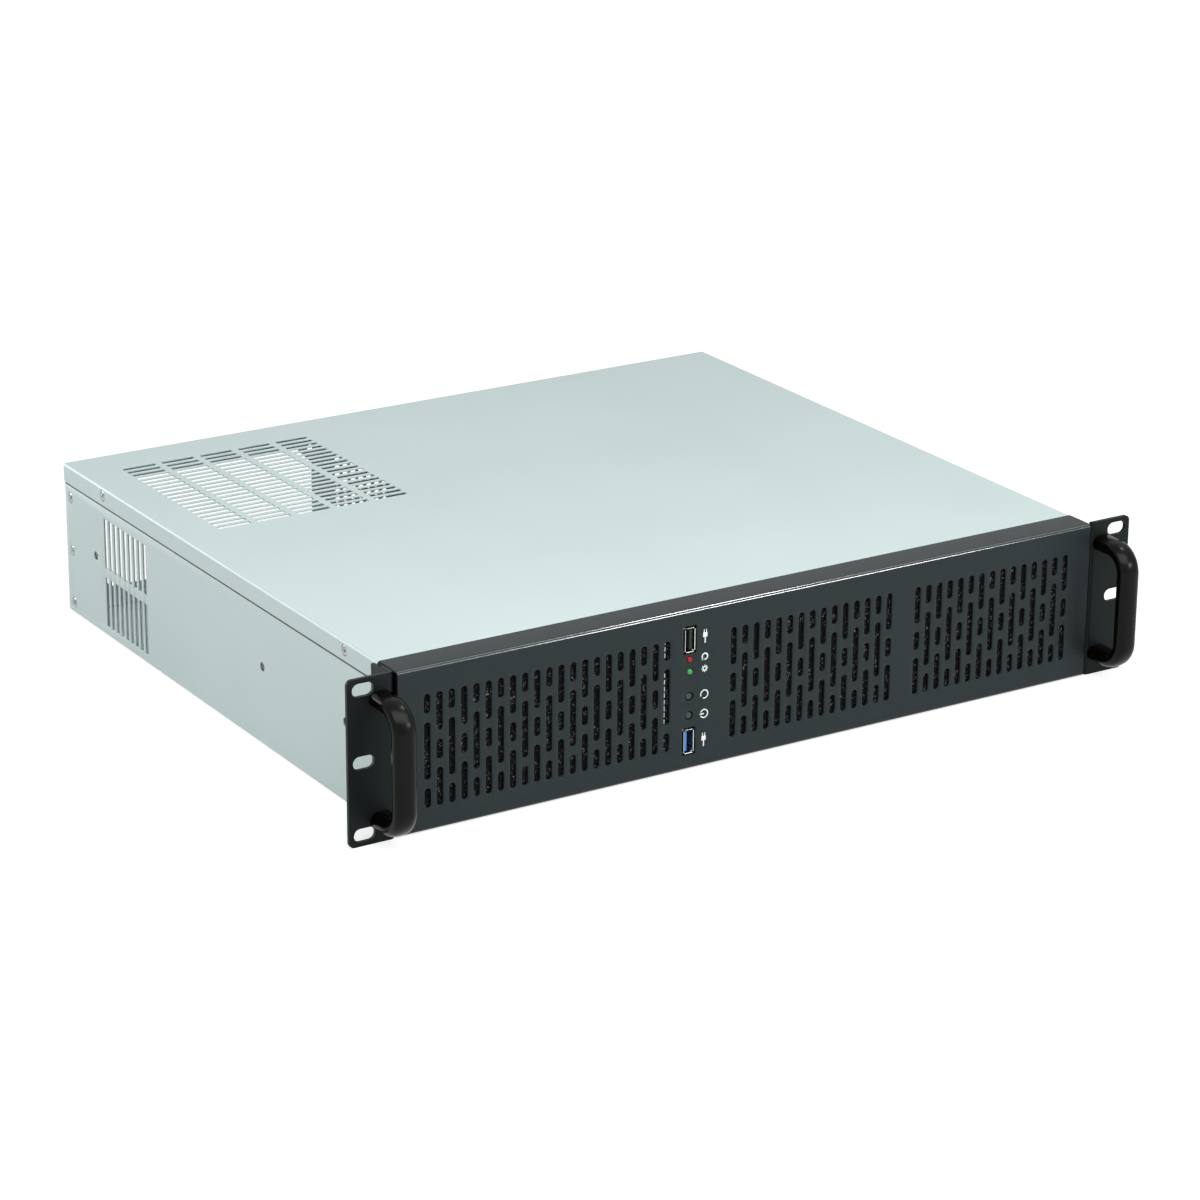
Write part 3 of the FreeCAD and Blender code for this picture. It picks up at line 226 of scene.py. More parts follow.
def painted_shade_sheet(name, axis, edge_mm, past, colour):
    """The same sheet with a painted shade: a dull second colour past a plane across one axis."""
    material = zinc_sheet(name)
    shader = material.node_tree.nodes["Principled BSDF"]
    place = add(material, "ShaderNodeTexCoord")
    parts = add(material, "ShaderNodeSeparateXYZ", {"Vector": place.outputs["Object"]})
    above = add(material, "ShaderNodeMath", {0: parts.outputs[axis], 1: edge_mm * MM}, operation=past)
    unshaded_colour = shader.inputs["Base Color"].links[0].from_socket
    # Painted shade: past the plane the colour turns dark and the metal dull.
    shade_mix = add(material, "ShaderNodeMix", {0: above.outputs["Value"]}, data_type="RGBA")
    first, second = [item for item in shade_mix.inputs if item.type == "RGBA"]
    material.node_tree.links.new(unshaded_colour, first)
    second.default_value = linear(colour)
    wire(material, next(item for item in shade_mix.outputs if item.type == "RGBA"), shader, "Base Color")
    wire(material, spread(material, above.outputs["Value"], 0.27, 0.0), shader, "Metallic")
    return material


STEP_Z, FRAME_SHADE_DEPTH = 75.85, 1.3
# The frame's front gets a black painted shade, for the shade that lies behind the face.
FRAME_SHADE_Y = box_mm("front_frame")[0][1] + FRAME_SHADE_DEPTH
ZINC = zinc_sheet()
# Painted shade: the tray is dark and not metallic above the step under the lid's skirt.
TRAY_ZINC = painted_shade_sheet("tray_sheet", "Z", STEP_Z, "GREATER_THAN", "#3C4443")
FRAME_ZINC = painted_shade_sheet("frame_sheet", "Y", FRAME_SHADE_Y, "LESS_THAN", "#0C0D0D")
print("sheets:", [item.name for item in (ZINC, TRAY_ZINC, FRAME_ZINC)])


# %% [markdown]
# The face and the ears have a baked powder coat. Its grains melt into a skin that is bumpy in the small
# and dull in the large, so it shows a wide, weak, cool sheen. The handles have a smoother and warmer coat.
# A bump and a rough shader give this more cheaply than real bumps in the mesh.

# %% Powder coats
def powder_coat(name, dark, pale, rough, specular):
    """Black powder coat: grains of 0.5 mm, 0.008 mm high, with a soft cool sheen."""
    material, shader = new_material(name, dark, 0.0, rough, Specular_IOR_Level=specular,
                                    Specular_Tint=linear("#DDF0EE"), Coat_Roughness=0.1, Coat_IOR=2.0)
    grain = noise(material, 0.5, 2.0)
    wire(material, mix_colours(material, spread(material, grain.outputs["Fac"], 0, 1), dark, pale),
         shader, "Base Color")
    wire(material, spread(material, grain.outputs["Fac"], rough - 0.04, rough + 0.04), shader, "Roughness")
    bump(material, shader, grain.outputs["Fac"], 0.008)
    return material


def handle_coat():
    """Smooth warm black coat with a soft gloss and a faint 3 mm ripple."""
    material, shader = new_material("handle_coat", "#030201", 0.0, 0.25, Specular_IOR_Level=0.13)
    ripple = noise(material, 3, 1.0)
    wire(material, spread(material, ripple.outputs["Fac"], 0.23, 0.27), shader, "Roughness")
    return material


COAT = powder_coat("powder_coat", "#161B1D", "#20272A", 0.44, 0.26)
EAR_COAT = powder_coat("ear_coat", "#0F1112", "#171A1B", 0.42, 0.14)
HANDLE = handle_coat()
print("coats:", [item.name for item in (COAT, EAR_COAT, HANDLE)])


# %% [markdown]
# Screws, port shells and standoffs are full metals: their colour tints what they mirror.
# Only the roughness has a pattern, since handling wears such parts unevenly but doesn't stain them.

# %% Bright metals
def bright_zinc():
    """Bright zinc plate on screws, with fine 0.3 mm wear."""
    material, shader = new_material("bright_zinc", "#A3A8A6", 1.0, 0.3)
    wear = noise(material, 0.3, 3.0)
    wire(material, spread(material, wear.outputs["Fac"], 0.2, 0.4), shader, "Roughness")
    return material


def tinned_shell():
    """Tinned steel of the ports' shells, bright and nearly smooth."""
    material, shader = new_material("tinned_shell", "#D6D5D0", 1.0, 0.18)
    wear = noise(material, 0.8, 2.0)
    wire(material, spread(material, wear.outputs["Fac"], 0.14, 0.24), shader, "Roughness")
    return material


def brass():
    """Turned brass with fine rings of 0.15 mm."""
    material, shader = new_material("brass", "#C9A154", 1.0, 0.3)
    rings = noise(material, 0.15, 1.0, (0.1, 0.1, 1))
    wire(material, spread(material, rings.outputs["Fac"], 0.24, 0.38), shader, "Roughness")
    return material


SCREW, TIN, BRASS = bright_zinc(), tinned_shell(), brass()
print("bright metals:", [item.name for item in (SCREW, TIN, BRASS)])


# %% [markdown]
# The tongues, the buttons, the board's lacquer and the printed marks are plain and have a fine grain.
# The filters are open-cell foam: dark walls round small pores, with a few threads that catch the light.
# Real foam could be built strand by strand, but through slots 3.5 mm wide a bump and a sparse pale net,
# a painted highlight for those threads, say the same. Lamps are dyed clear plastic, so light goes a little
# way into them.

# %% Plastics, foam and lamps
def plastic(name, colour, roughness, grain_mm=0.4, depth_mm=0.004):
    """Moulded plastic with a fine spark-eroded grain."""
    material, shader = new_material(name, colour, 0.0, roughness)
    grain = noise(material, grain_mm, 1.0)
    worn = spread(material, grain.outputs["Fac"], roughness - 0.05, roughness + 0.05)
    wire(material, worn, shader, "Roughness")
    bump(material, shader, grain.outputs["Fac"], depth_mm)
    return material


def foam():
    """Open-cell foam: cells of 1.1 mm, their walls raised by 0.5 mm over dark pores, and a sparse pale
    painted highlight on the walls.
    """
    material, shader = new_material("foam", "#040404", 0.0, 0.8, Specular_IOR_Level=0.15)
    place = add(material, "ShaderNodeTexCoord")
    cells = add(material, "ShaderNodeTexVoronoi",
                {"Vector": place.outputs["Object"], "Scale": 1 / (1.1 * MM), "Randomness": 1.0},
                feature="DISTANCE_TO_EDGE")
    walls = add(material, "ShaderNodeMapRange", {"Value": cells.outputs["Distance"], "From Min": 0.0,
                                                 "From Max": 0.16, "To Min": 1.0, "To Max": 0.0})
    patches = noise(material, 1.6, 2.0)
    sparse = add(material, "ShaderNodeMapRange", {"Value": patches.outputs["Fac"], "From Min": 0.55,
                                                  "From Max": 0.7, "To Min": 0.0, "To Max": 1.0})
    # Painted highlight: pale colour on the cell walls in sparse patches, for the threads that catch the
    # light.
    lit = add(material, "ShaderNodeMath", {0: walls.outputs["Result"], 1: sparse.outputs["Result"]},
              operation="MULTIPLY")
    wire(material, mix_colours(material, lit.outputs["Value"], "#020202", "#9C9C98"), shader, "Base Color")
    bump(material, shader, walls.outputs["Result"], 0.5)
    return material


def lamp(name, colour, core):
    """Dyed clear plastic: a glossy lens that light enters 1 mm deep, with a faint glow of its core."""
    material, shader = new_material(name, colour, 0.0, 0.12, Specular_IOR_Level=0.3)
    shader.inputs["Subsurface Weight"].default_value = 0.3
    shader.inputs["Subsurface Scale"].default_value = 1.0 * MM
    shader.inputs["Emission Color"].default_value = linear(core)
    shader.inputs["Emission Strength"].default_value = 0.02
    return material


FOAM = foam()
BLACK = plastic("black_plastic", "#060404", 0.6)
BLUE = plastic("blue_plastic", "#2E86D8", 0.35)
BUTTON = plastic("button_plastic", "#2A2F31", 0.5)
BOARD = plastic("board_lacquer", "#1E5B36", 0.3, 1.5, 0.003)
GOLD, _ = new_material("contact_gold", "#D9B45A", 1.0, 0.25)
PRINT = plastic("white_print", "#E8EAEA", 0.55, 0.3, 0.002)
RED, GREEN = lamp("red_lens", "#9C0805", "#FF2010"), lamp("green_lens", "#3B9C48", "#30FF60")
print("plastics:", [item.name for item in (FOAM, BLACK, BLUE, BUTTON, BOARD, PRINT, RED, GREEN)])

# %% [markdown]
# ## CAD nodes
# The nodes that stay as they are get their material, a weld and, where their cut edges are seen, a very
# small edge radius, because a real edge always catches a thin line of light. A bevel modifier does this
# for all edges at once, and the flat faces stay flat through weighted normals.

# %% Finish the CAD nodes
EDGE_MM = {"left_ear": 0.25, "right_ear": 0.25, "usb2_tongue": 0.15, "drive_cage": 0.12,
           "fan_bracket": 0.12, "top_cover": 0.1, "control_bracket": 0.12}
NODE_MATERIALS = {
    TRAY_ZINC: ("chassis_tray",),
    FRAME_ZINC: ("front_frame",),
    ZINC: ("top_cover", "rear_panel", "control_bracket", "slot_cover_1",
           "slot_cover_2", "fan_bracket", "drive_cage", "cross_brace"),
    COAT: ("front_bezel",),
    EAR_COAT: ("left_ear", "right_ear"),
    HANDLE: ("left_handle", "right_handle"),
    SCREW: ("cover_screws", "rear_screws", "ear_screws", "handle_screws", "slot_screws"),
    TIN: ("usb2_shell", "usb3_shell"),
    BLACK: ("usb2_tongue", "reset_switch", "power_switch"),
    BLUE: ("usb3_tongue",),
    BUTTON: ("reset_button", "power_button"),
    RED: ("red_led",),
    GREEN: ("green_led",),
    BOARD: ("control_board",),
    BRASS: ("board_standoffs",),
    FOAM: ("left_filter", "middle_filter", "right_filter"),
}


def finish_node(name, material):
    """Give a CAD node its material, smooth bends and, where named, a small edge radius."""
    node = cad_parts[name]
    node.data.materials.clear()
    node.data.materials.append(material)
    weld = node.modifiers.new("weld", "WELD")
    weld.merge_threshold = 0.001 * MM
    node.data.polygons.foreach_set("use_smooth", [True] * len(node.data.polygons))
    if name in EDGE_MM:
        edge = node.modifiers.new("edge", "BEVEL")
        edge.width = EDGE_MM[name] * MM
        edge.segments = 2
        edge.limit_method = "ANGLE"
        edge.angle_limit = math.radians(50)
    smooth = node.modifiers.new("normals", "WEIGHTED_NORMAL")
    smooth.keep_sharp = True


for material, names in NODE_MATERIALS.items():
    for name in names:
        finish_node(name, material)
print("finished nodes:", sum(len(names) for names in NODE_MATERIALS.values()))

# %% [markdown]
# ## The face
# The face is folded from one sheet. Its slots have true round ends and a chamfer that catches the light.
# They could be cut by a boolean, which leaves long thin triangles that shade badly.
# Here each hole sits in a rectangular cell of the sheet, and each point of the hole's outline is joined
# to a point of the cell's border, so every face stays even.

# %% Places on the face
face_low, face_high = box_mm("front_bezel")
FACE_SHEET = 1.2
FACE_BEND = 2.0
FACE_CHAMFER = 0.25
face_front = face_low[1]
face_inside = face_front + FACE_SHEET
flat_low, flat_high = face_low[2] + FACE_BEND, face_high[2] - FACE_BEND

SLOT_WIDE, SLOT_PITCH, SLOT_BRIDGE = 3.5, 7.0, 4.6
FIELD_LOW, FIELD_TALL = 12.7, 60.4
LONG_KIND, EVEN_KIND = (10.4, 30.4, 10.4), (20.4, 10.4, 20.4)
SLOT_GROUPS = [(-197.5, 21, (LONG_KIND, EVEN_KIND)), (-17.0, 15, (EVEN_KIND, LONG_KIND)),
               (99.5, 15, (EVEN_KIND, LONG_KIND))]
CONTROL_X = -43.8
USB2_Z, RED_Z, GREEN_Z, RESET_Z, POWER_Z, USB3_Z = 71.3, 60.6, 54.0, 40.5, 30.0, 15.8
PORT_HOLE, LAMP_HOLE, BUTTON_HOLE = (8.0, 15.2), 3.6, 4.8
PORT_HOLE_CORNER, CONTROL_HALF = 0.6, 6.0
RING = 32
print("face from", face_low, "to", face_high)


# %% [markdown]
# A cell is a stack of closed rings: the border, the chamfered mouth, the wall through the sheet, and the
# border again on the inside. All rings have the same number of points, so they join without extra work.

# %% Cells with and without a hole
def rounded(u, v, half_wide, half_tall, radius):
    """An outline as a function of its margin m: centre + (r + m)(cos t, sin t) + the corner's offset."""
    turn = 2 * np.pi * (np.arange(RING) + 0.5) / RING
    cos, sin = np.cos(turn), np.sin(turn)

    def outline(margin):
        across = (half_wide - radius) * np.sign(cos) + (radius + margin) * cos
        up = (half_tall - radius) * np.sign(sin) + (radius + margin) * sin
        return np.stack([u + across, v + up], -1)
    return outline


def cell_border(left, right, low, high):
    """The cell's rectangle with as many points as an outline, its corners among them."""
    side = RING // 4
    edge, still = np.linspace(-1, 1, side, endpoint=False), np.ones(side)
    u = np.concatenate([still, -edge, -still, edge])
    v = np.concatenate([edge, still, -edge, -still])
    turned = np.roll(np.stack([u, v], -1), -(side // 2), axis=0)
    middle = np.array([left + right, low + high]) / 2
    half = np.array([right - left, high - low]) / 2
    return middle + turned * half


def on_plane(flat, y):
    """Lay (x, z) points on the plane at y."""
    return np.stack([flat[:, 0], np.full(len(flat), y), flat[:, 1]], -1)


def hole_cell(left, right, low, high, outline):
    """A cell with a hole: border, chamfer, wall, chamfer and border again on the inside."""
    border = cell_border(left, right, low, high)
    rings = [on_plane(border, face_front), on_plane(outline(FACE_CHAMFER), face_front),
             on_plane(outline(FACE_CHAMFER * 0.3), face_front + FACE_CHAMFER * 0.3),
             on_plane(outline(0), face_front + FACE_CHAMFER),
             on_plane(outline(0), face_inside - FACE_CHAMFER),
             on_plane(outline(FACE_CHAMFER), face_inside), on_plane(border, face_inside)]
    return np.concatenate(rings), grid_faces(len(rings), RING, closed=True)


def plain_cell(left, right, low, high):
    """A cell with no hole: its two flat faces."""
    corners = [(left, low), (right, low), (right, high), (left, high)]
    front = sheet_quad([(x, face_front, z) for x, z in corners])
    inside = sheet_quad([(x, face_inside, z) for x, z in reversed(corners)])
    return gather([front, inside])


print("a cell has", RING, "points round its hole")


# %% [markdown]
# The slots stand in columns of two kinds, long in the middle and long at the ends, by turns.
# The ports, lamps and buttons have a column of their own, whose cells meet halfway between two holes.

# %% Slots and controls
def slot_cells(start, columns, kinds):
    """All cells of one slot group."""
    cells = []
    for column in range(columns):
        u = start + SLOT_PITCH * column
        low = FIELD_LOW
        for length in kinds[column % 2]:
            hole = rounded(u, low + length / 2, SLOT_WIDE / 2, length / 2, SLOT_WIDE / 2)
            cells.append(hole_cell(u - SLOT_PITCH / 2, u + SLOT_PITCH / 2, low - SLOT_BRIDGE / 2,
                                   low + length + SLOT_BRIDGE / 2, hole))
            low += length + SLOT_BRIDGE
    return cells


def control_cells(left, right):
    """The column of ports, lamps and buttons, from the lower bend to the upper one."""
    port_wide, port_tall = PORT_HOLE[0] / 2, PORT_HOLE[1] / 2
    button, lens = BUTTON_HOLE / 2, LAMP_HOLE / 2
    holes = [(USB3_Z, port_wide, port_tall, PORT_HOLE_CORNER), (POWER_Z, button, button, button),
             (RESET_Z, button, button, button), (GREEN_Z, lens, lens, lens), (RED_Z, lens, lens, lens),
             (USB2_Z, port_wide, port_tall, PORT_HOLE_CORNER)]
    ends = [flat_low]
    for below, above in zip(holes, holes[1:]):
        ends.append((below[0] + below[2] + above[0] - above[2]) / 2)
    ends.append(flat_high)
    inner = (CONTROL_X - CONTROL_HALF, CONTROL_X + CONTROL_HALF)
    cells = [plain_cell(left, inner[0], flat_low, flat_high),
             plain_cell(inner[1], right, flat_low, flat_high)]
    for (z, half_wide, half_tall, radius), low, high in zip(holes, ends, ends[1:]):
        cells.append(hole_cell(*inner, low, high, rounded(CONTROL_X, z, half_wide, half_tall, radius)))
    return cells


print("slots in the face:", sum(3 * columns for _, columns, _ in SLOT_GROUPS))


# %% [markdown]
# The sheet is folded back above and below. The fold is a quarter circle, 2 mm on the outside. It shows as
# bright lines above the slots, so it needs a true arc. A bevel modifier could round it too, but it would
# also round every slot.

# %% Folded lips
LOWER_LIP, LIP_EDGE, FOLD_POINTS = 6.9, 0.15, 9


def lip(z_edge, z_flat, reach, turn):
    """A folded lip: the sheet's outer and inner lines, a quarter arc and a straight flange.
    The arc is (surface + r (1 - cos a), flat + turn r sin a), with the surface's own bend radius r.
    turn is +1 where the lip is above the face and -1 where it is below."""
    angle = np.linspace(0, np.pi / 2, FOLD_POINTS)
    outer = [(face_front, z_flat)]
    outer += [(face_front + FACE_BEND * (1 - math.cos(a)), z_flat + turn * FACE_BEND * math.sin(a))
              for a in angle[1:]]
    outer.append((reach - LIP_EDGE, z_edge))
    outer.append((reach, z_edge - turn * LIP_EDGE))
    small = FACE_BEND - FACE_SHEET
    inner = [(reach, z_edge - turn * (FACE_SHEET - LIP_EDGE)),
             (reach - LIP_EDGE, z_edge - turn * FACE_SHEET)]
    inner += [(face_inside + small * (1 - math.cos(a)), z_flat + turn * small * math.sin(a))
              for a in angle[::-1]]
    path = np.array(outer + inner)
    columns = np.array([face_low[0], face_high[0]])[::-turn]
    points = np.stack([np.repeat(columns[:, None], len(path), 1),
                       np.repeat(path[None, :, 0], 2, 0), np.repeat(path[None, :, 1], 2, 0)], -1)
    caps = []
    count = len(path)
    for side in columns:
        cap = np.stack([np.full(count, side), path[:, 0], path[:, 1]], -1)
        quads = np.array([[k, k + 1, count - 2 - k, count - 1 - k] for k in range(count // 2 - 1)])
        caps.append((cap, quads if turn * side > 0 else quads[:, ::-1]))
    return [(points.reshape(-1, 3), grid_faces(2, count))] + caps


print("fold radius:", FACE_BEND, "mm")


# %% [markdown]
# The whole face is now the slot groups, the plain strips between them, the controls' column, both lips
# and the two cut ends. The bend gets two glossy lines, which catch the lamps as on the real face.

# %% The whole face
GLOSS_LINES, GLOSS_HALF = (flat_high + 0.82, flat_high + 1.66), 0.16


def face_surfaces():
    """The whole folded face."""
    surfaces = []
    field_low, field_high = FIELD_LOW - SLOT_BRIDGE / 2, FIELD_LOW + FIELD_TALL + SLOT_BRIDGE / 2
    spans = [(start - SLOT_PITCH / 2, start + SLOT_PITCH * (columns - 0.5))
             for start, columns, _ in SLOT_GROUPS]
    for (left, right), (start, columns, kinds) in zip(spans, SLOT_GROUPS):
        surfaces += slot_cells(start, columns, kinds)
        surfaces.append(plain_cell(left, right, flat_low, field_low))
        surfaces.append(plain_cell(left, right, field_high, flat_high))
    surfaces.append(plain_cell(face_low[0], spans[0][0], flat_low, flat_high))
    surfaces += control_cells(spans[0][1], spans[1][0])
    surfaces.append(plain_cell(spans[1][1], spans[2][0], flat_low, flat_high))
    surfaces.append(plain_cell(spans[2][1], face_high[0], flat_low, flat_high))
    surfaces += lip(face_high[2], flat_high, face_high[1], 1)
    surfaces += lip(face_low[2], flat_low, face_front + LOWER_LIP, -1)
    ends = ((face_low[0], face_inside, face_front), (face_high[0], face_front, face_inside))
    for side, near, far in ends:
        surfaces.append(sheet_quad([(side, near, flat_low), (side, far, flat_low),
                                    (side, far, flat_high), (side, near, flat_high)]))
    return surfaces


def gloss_lines(material, middles_mm, half_mm):
    """The folding tool rubs the coat shiny along lines of the bend: a full gloss near each height."""
    shader = material.node_tree.nodes["Principled BSDF"]
    place = add(material, "ShaderNodeTexCoord")
    parts = add(material, "ShaderNodeSeparateXYZ", {"Vector": place.outputs["Object"]})
    total = 0.0
    for middle in middles_mm:
        near = add(material, "ShaderNodeMath", {0: parts.outputs["Z"], 1: middle * MM, 2: half_mm * MM},
                   operation="COMPARE")
        total = add(material, "ShaderNodeMath", {0: near.outputs["Value"], 1: total}, operation="ADD",
                    use_clamp=True).outputs["Value"]
    wire(material, total, shader, "Coat Weight")


gloss_lines(COAT, GLOSS_LINES, GLOSS_HALF)
face = new_piece("slotted_face", face_surfaces(), COAT, replaces=["front_bezel"],
                 turn_out=False)
print("face polygons:", len(face.data.polygons))

# %% [markdown]
# ## Handles
# Each handle is a flat oval bar bent to a bow, with two round bends.
# A curve object with a bevel profile could make it too. Here an oval is carried along the bow's line,
# and it stays at right angles to that line, so both bends keep their full width.

# %% Bow handles
EAR_FRONT = box_mm("left_ear")[0][1]
HANDLE_X, HANDLE_RISE, HANDLE_REACH, HANDLE_BEND = 223.0, 63.5, 23.0, 12.0
HANDLE_WIDE, HANDLE_THICK, OVAL_POWER = 12.6, 8.6, 0.85
OVAL_POINTS, BEND_STEPS = 48, 24
MIDDLE_Z = 44.05


def bow_line(steps):
    """Points and normals (y, z) of the bow: out, round the low bend, up, round the high bend and back."""
    low, high = MIDDLE_Z - HANDLE_RISE / 2, MIDDLE_Z + HANDLE_RISE / 2
    turn = np.linspace(0, np.pi / 2, steps)
    bend_y = EAR_FRONT - HANDLE_REACH + HANDLE_BEND
    line = [(EAR_FRONT, low, 0, -1)]
    line += [(bend_y - HANDLE_BEND * math.sin(a), low + HANDLE_BEND * (1 - math.cos(a)),
              -math.sin(a), -math.cos(a)) for a in turn]
    line += [(bend_y - HANDLE_BEND * math.cos(a), high - HANDLE_BEND * (1 - math.sin(a)),
              -math.cos(a), math.sin(a)) for a in turn]
    line.append((EAR_FRONT, high, 0, 1))
    return np.array(line)


def handle_surface(x):
    """Sweep of a full oval: C(s) + w X sgn(cos t)|cos t|**p + h N(s) sgn(sin t)|sin t|**p."""
    turn = np.linspace(0, 2 * np.pi, OVAL_POINTS, endpoint=False)
    cos, sin = np.cos(turn), np.sin(turn)
    across = HANDLE_WIDE / 2 * np.sign(cos) * abs(cos) ** OVAL_POWER
    out = HANDLE_THICK / 2 * np.sign(sin) * abs(sin) ** OVAL_POWER
    line = bow_line(BEND_STEPS)
    rings = np.stack([np.broadcast_to(x + across, (len(line), OVAL_POINTS)),
                      line[:, 0:1] + line[:, 2:3] * out, line[:, 1:2] + line[:, 3:4] * out], -1)
    return rings.reshape(-1, 3), grid_faces(len(line), OVAL_POINTS, closed=True)


for side, x in (("left", -HANDLE_X), ("right", HANDLE_X)):
    new_piece(side + "_bow_handle", [handle_surface(x)], HANDLE,
              replaces=[side + "_handle"], sharp_deg=60)
print("handles made")

# %% [markdown]
# ## Screws
# The lid, the tray and the ears are held by countersunk screws, and the handles by pan heads from behind.
# A cross recess is a height over the head: two crossed grooves that get shallower towards their ends.
# It could be cut by a boolean, but as a height it is part of the same round grid as the head.

# %% One screw with a cross recess
SPOKES = 48
RECESS_WIDE, RECESS_REACH, RECESS_DEPTH = 0.17, 0.62, 0.35


def recess(x, y, half_wide, reach, depth):
    """Depth of the cross recess at (x, y): two grooves joined, soft at their sides and ends."""
    near, far = np.minimum(abs(x), abs(y)), np.maximum(abs(x), abs(y))
    across = np.clip((half_wide - near) / (0.25 * half_wide) + 0.5, 0, 1)
    along = np.clip((reach - far) / (0.3 * reach) + 0.5, 0, 1)
    return depth * across * along


def screw_surface(place, outward, head_radius, dome, cone, shank_radius, length, turn_deg):
    """A screw about its axis: a recessed head, a cone or a straight rim, and a plain shank.
    The head's top is dome*(1 - (r/R)**2) minus the recess, whose sizes are shares of the head's radius."""
    radii = np.concatenate([np.linspace(0, 0.7, 15), np.linspace(0.74, 0.88, 4)]) * head_radius
    angle = 2 * np.pi * np.arange(SPOKES) / SPOKES
    radius, turn = np.meshgrid(radii, angle, indexing="ij")
    x, y = radius * np.cos(turn), radius * np.sin(turn)
    tilt = math.radians(turn_deg)
    cross_x, cross_y = x * math.cos(tilt) + y * math.sin(tilt), y * math.cos(tilt) - x * math.sin(tilt)
    rise = dome * (1 - (radius / head_radius) ** 2)
    top = rise - recess(cross_x, cross_y, RECESS_WIDE * head_radius, RECESS_REACH * head_radius,
                        RECESS_DEPTH * head_radius)
    rims = [(head_radius, -0.1 * head_radius)]
    rims += [(shank_radius, -cone)] if dome == 0 else [(head_radius, -cone), (shank_radius, -cone)]
    rims += [(shank_radius, -length), (0.0, -length)]
    levels = [np.stack([x, y, top], -1)]
    for rim_radius, height in rims:
        flat = np.full(SPOKES, height)
        levels.append(np.stack([rim_radius * np.cos(angle), rim_radius * np.sin(angle), flat], -1)[None])
    local = np.concatenate(levels)
    outward = np.array(outward, float)
    first = np.array([0, 0, 1.0]) if abs(outward[2]) < 0.5 else np.array([1.0, 0, 0])
    second = np.cross(outward, first)
    points = np.array(place) + local[..., 0:1] * first + local[..., 1:2] * second + local[..., 2:3] * outward
    return points.reshape(-1, 3), grid_faces(len(points), SPOKES, closed=True)


print("a screw's grid has", SPOKES, "spokes")

# %% [markdown]
# The screws of one kind are one piece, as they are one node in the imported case.
# Each is turned by another angle, because no two screws are driven home alike.
# Their places are pairs of depth behind the ears' front and height, on both sides of the case.

# %% All screws
HALF_BODY, EAR_OUTER = 215.0, 217.0
CASE_ZERO = EAR_FRONT
FLAT_HEAD, FLAT_CONE, FLAT_SHANK, FLAT_LONG = 2.75, 1.48, 1.48, 5.0
PAN_HEAD, PAN_DOME, PAN_TALL, PAN_SHANK, PAN_LONG = 3.95, 0.88, 1.7, 1.98, 13.7
EAR_SHEET, SHEET_GAP = 2.0, 0.1
side_screws = {
    "cover_screws": (HALF_BODY, [(51.0, 82.4), (329.0, 82.4)]),
    "rear_screws": (HALF_BODY, [(371.5, 6.5), (371.5, 37.65), (371.5, 68.8)]),
    "ear_screws": (EAR_OUTER, [(13.0, MIDDLE_Z - 25), (13.0, MIDDLE_Z + 25)]),
}
turns = iter(range(11, 5000, 37))
for node, (x, places) in side_screws.items():
    surfaces = [screw_surface((way * x, CASE_ZERO + y, z), (way, 0, 0), FLAT_HEAD, 0, FLAT_CONE,
                              FLAT_SHANK, FLAT_LONG, next(turns)) for way in (-1, 1) for y, z in places]
    new_piece(node + "_crossed", surfaces, SCREW, replaces=[node], sharp_deg=40)

handle_seat = CASE_ZERO + EAR_SHEET + SHEET_GAP
surfaces = [screw_surface((way * HANDLE_X, handle_seat + PAN_TALL, MIDDLE_Z + rise * HANDLE_RISE / 2),
                          (0, 1, 0), PAN_HEAD, PAN_DOME, PAN_TALL, PAN_SHANK, PAN_LONG, next(turns))
            for way in (-1, 1) for rise in (-1, 1)]
new_piece("handle_screws_crossed", surfaces, SCREW, replaces=["handle_screws"],
          sharp_deg=40)
print("screws made")

# %% [markdown]
# Behind each rail hole a blind nut is pressed into the tray's wall. It is a turned part, so a short list
# of radii and depths, carried round its axis, makes all of it.
# A toothed strip holds the end of the left foam, and its teeth show as a bright dotted line in the slots.

# %% Rail nuts and the foam's strip
RAIL_PLACES, RAIL_Z = (51.0, 140.5, 340.5), 44.0
NUT_PROFILE = [(0, 3.5), (1.5, 3.5), (1.5, 1.3), (1.75, 1.05), (3.6, 1.05), (3.6, 4.0), (0, 4.0)]


def rail_nut(way, y):
    """A nut turned about the X axis: radius and depth pairs from the wall's outer face inward."""
    angle = way * 2 * np.pi * np.arange(SPOKES) / SPOKES
    rings = [np.stack([np.full(SPOKES, way * (HALF_BODY - depth)), CASE_ZERO + y + r * np.cos(angle),
                       RAIL_Z + r * np.sin(angle)], -1) for r, depth in NUT_PROFILE]
    return np.concatenate(rings), grid_faces(len(rings), SPOKES, closed=True)


new_piece("rail_nuts", [rail_nut(way, y) for way in (-1, 1) for y in RAIL_PLACES], SCREW)

STRIP_X, STRIP_WIDE, STRIP_THICK, TOOTH, TOOTH_PITCH = -58.4, 0.45, 0.3, 2.3, 3.6
STRIP_LOW, STRIP_HIGH, STRIP_GAP = 28.0, 74.0, 0.15
strip_front = face_inside + STRIP_GAP


def small_block(low, high):
    """A box given by two corners."""
    corners = np.array([[(low, high)[pick][axis] for axis, pick in enumerate(picks)]
                        for picks in np.ndindex(2, 2, 2)])
    faces = [[0, 1, 3, 2], [4, 6, 7, 5], [0, 4, 5, 1], [2, 3, 7, 6], [0, 2, 6, 4], [1, 5, 7, 3]]
    return corners, np.array(faces)


def strip_tooth(low, high):
    """One tooth of the strip between two heights."""
    return small_block((STRIP_X, strip_front, low), (STRIP_X + STRIP_WIDE, strip_front + STRIP_THICK, high))


teeth = [strip_tooth(z, z + TOOTH) for z in np.arange(STRIP_LOW, STRIP_HIGH, TOOTH_PITCH)]
new_piece("foam_strip", teeth, ZINC)
print("nuts and strip made")

